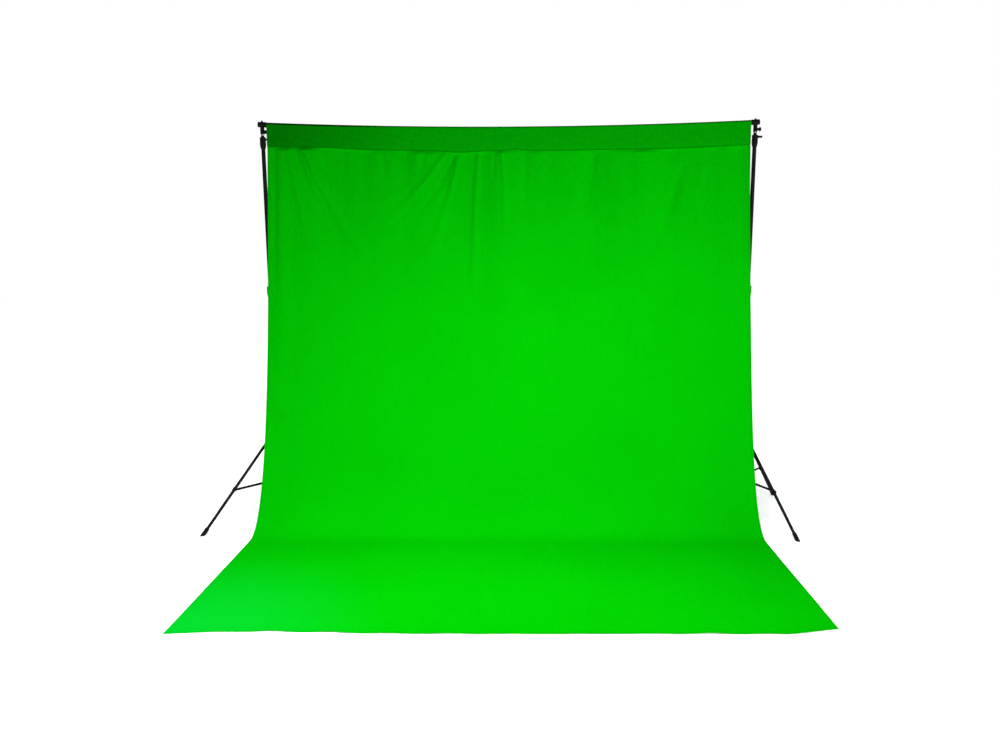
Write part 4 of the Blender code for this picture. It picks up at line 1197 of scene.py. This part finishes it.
def build_tripod(name, stand, lean):
    pivots = [stand.inverted() @ place(f"{name}_leg_{number}_hinge") for number in (1, 2, 3)]
    turns = [math.atan2(pivot.y, pivot.x) for pivot in pivots]
    lock_turn = local_turn(f"{name}_leg_hub_handle_turn", stand)
    show(f"{name}_leg_hub", leg_hub(turns, lock_turn), "black_casting", stand)
    show(f"{name}_brace_hub", brace_hub(turns), "black_casting", stand)
    handle = t_handle(TUBES["base_tube"][0] + 2 * GAP, HUB_RADIUS + HUB_BOSS_PROUD + GAP)
    place_of_lock = screw_matrix(stand, LEG_PIVOT_HEIGHT + HUB_SCREW_RISE, lock_turn)
    show(f"{name}_leg_hub_handle", handle, "black_handle", place_of_lock)
    for number, turn in enumerate(turns, start=1):
        aim = stand @ Matrix.Rotation(turn, 4, "Z")
        length, slope = brace_line(lean, turn)
        leg = hinged(aim, LEG_PIVOT_HEIGHT, leg_spread(lean, turn))
        show(f"{name}_leg_{number}", leg_tube(), "black_tube", leg)
        show(f"{name}_foot_{number}", foot_cup(lean, turn), "black_rubber", leg)
        show(f"{name}_leg_clamp_{number}", leg_clamp(), "black_casting", leg)
        brace = hinged(aim, BRACE_PIVOT_HEIGHT, slope)
        show(f"{name}_brace_{number}", brace_strip(length), "black_tube", brace)


def build_stand(name, side):
    """One stand about its mast axis, read from the joint that it swivels on."""
    up = direction(f"{name}_stand_swivel")
    head = place(f"{name}_stand_swivel")
    foot = head - up * (head.z / up.z)
    lean = math.asin(up.x)
    stand = Matrix.Translation(foot) @ Matrix.Rotation(lean, 4, "Y")
    build_mast(name, side, stand, BAR_MIDDLE.z / up.z)
    build_tripod(name, stand, lean)


def dress_buttons():
    """The spring buttons keep their shape, with softened edges and plated steel."""
    for number in range(1, BAR_SECTIONS):
        button = bpy.data.objects[f"bar_button_{number}"]
        button.data.materials.clear()
        button.data.materials.append(FINISHES["bright_steel"])
        bevel = button.modifiers.new("Softened", "BEVEL")
        bevel.width = 0.0002
        bevel.segments = 2
        bevel.limit_method = "ANGLE"


# ---------------------------------------------------------------- studio

def glowing_white(name, base):
    """Paint over a grey base that glows white and doesn't shine."""
    white = paint(name)
    white.look("Base Color", grey(base))
    white.look("Specular IOR Level", 0.0)
    white.look("Emission Color", WHITE)
    white.look("Emission Strength", 1.0)
    return white


def studio_floor():
    """Wide pale floor that grows brighter with distance, so that it runs into the white beyond."""
    bm = bmesh.new()
    bmesh.ops.create_grid(bm, x_segments=8, y_segments=8, size=FLOOR_SIZE / 2)
    mesh = solid_of(bm)
    white = glowing_white("studio_floor_paint", FLOOR_GREY)
    away = white.node("VectorMath", {0: white.node("TexCoord", {}, "Object")}, "Value", operation="LENGTH")
    glow = white.ranged(away, FLOOR_CLEAR, FLOOR_GLOWING, FLOOR_GLOW_NEAR, 1.0, "SMOOTHSTEP")
    white.look("Emission Strength", glow)
    white.look("Roughness", 0.95)
    mesh.materials.append(white.owner)
    linked("studio_floor", mesh, Matrix.Translation((0, 0, FLOOR_HEIGHT)))


def white_dome():
    """White studio round everything, for the camera alone: it neither lights nor shades anything."""
    bm = bmesh.new()
    bmesh.ops.create_uvsphere(bm, u_segments=48, v_segments=24, radius=DOME_RADIUS)
    mesh = smooth_mesh(solid_of(bm))
    mesh.materials.append(glowing_white("white_dome_paint", 0.0).owner)
    dome = linked("white_dome", mesh)
    for rays in ("diffuse", "glossy", "transmission", "shadow"):
        setattr(dome, f"visible_{rays}", False)


def white_world():
    """White light from beyond the backdrop, dimmer from behind the camera, where the panels are."""
    world = bpy.data.worlds.new("white_studio")
    sky = Nodes(world, "Background")
    along = sky.node("SeparateXYZ", {"Vector": sky.node("TexCoord", {}, "Generated")}, "Y")
    sky.look("Strength", sky.ranged(along, -0.10, 0.35, WORLD_DIM, 1.0, "SMOOTHSTEP"))
    sky.look("Color", WHITE)
    bpy.context.scene.world = world


def soft_light(name, position, target, width, height, power, spread):
    """Large soft panel aimed at a point, itself out of sight."""
    light = bpy.data.lights.new(name, "AREA")
    light.shape = "RECTANGLE"
    light.size = width
    light.size_y = height
    light.energy = power
    light.spread = math.radians(spread)
    aim = (Vector(target) - Vector(position)).to_track_quat("-Z", "Y").to_matrix().to_4x4()
    linked(name, light, Matrix.Translation(position) @ aim).visible_camera = False


def build_camera():
    camera = bpy.data.cameras.new("studio_camera")
    camera.lens = CAMERA_LENS
    camera.sensor_width = 36.0
    camera.sensor_fit = "HORIZONTAL"
    camera.shift_x, camera.shift_y = CAMERA_SHIFT
    camera.clip_end = 200.0
    turn = Matrix.Rotation(CAMERA_LEFT, 4, "Z") @ Matrix.Rotation(math.pi / 2 - CAMERA_DOWN, 4, "X")
    turn = turn @ Matrix.Rotation(-CAMERA_ROLL, 4, "Z")
    bpy.context.scene.camera = linked("studio_camera", camera, Matrix.Translation(CAMERA_PLACE) @ turn)


def build_studio():
    studio_floor()
    white_dome()
    white_world()
    for name, position, target, width, height, power, spread in PANELS:
        soft_light(name, position, target, width, height, power, spread)
    build_camera()
    bpy.context.scene.view_settings.view_transform = "Standard"


build_cloth()
build_bar()
build_stand("left", -1)
build_stand("right", 1)
dress_buttons()
build_studio()
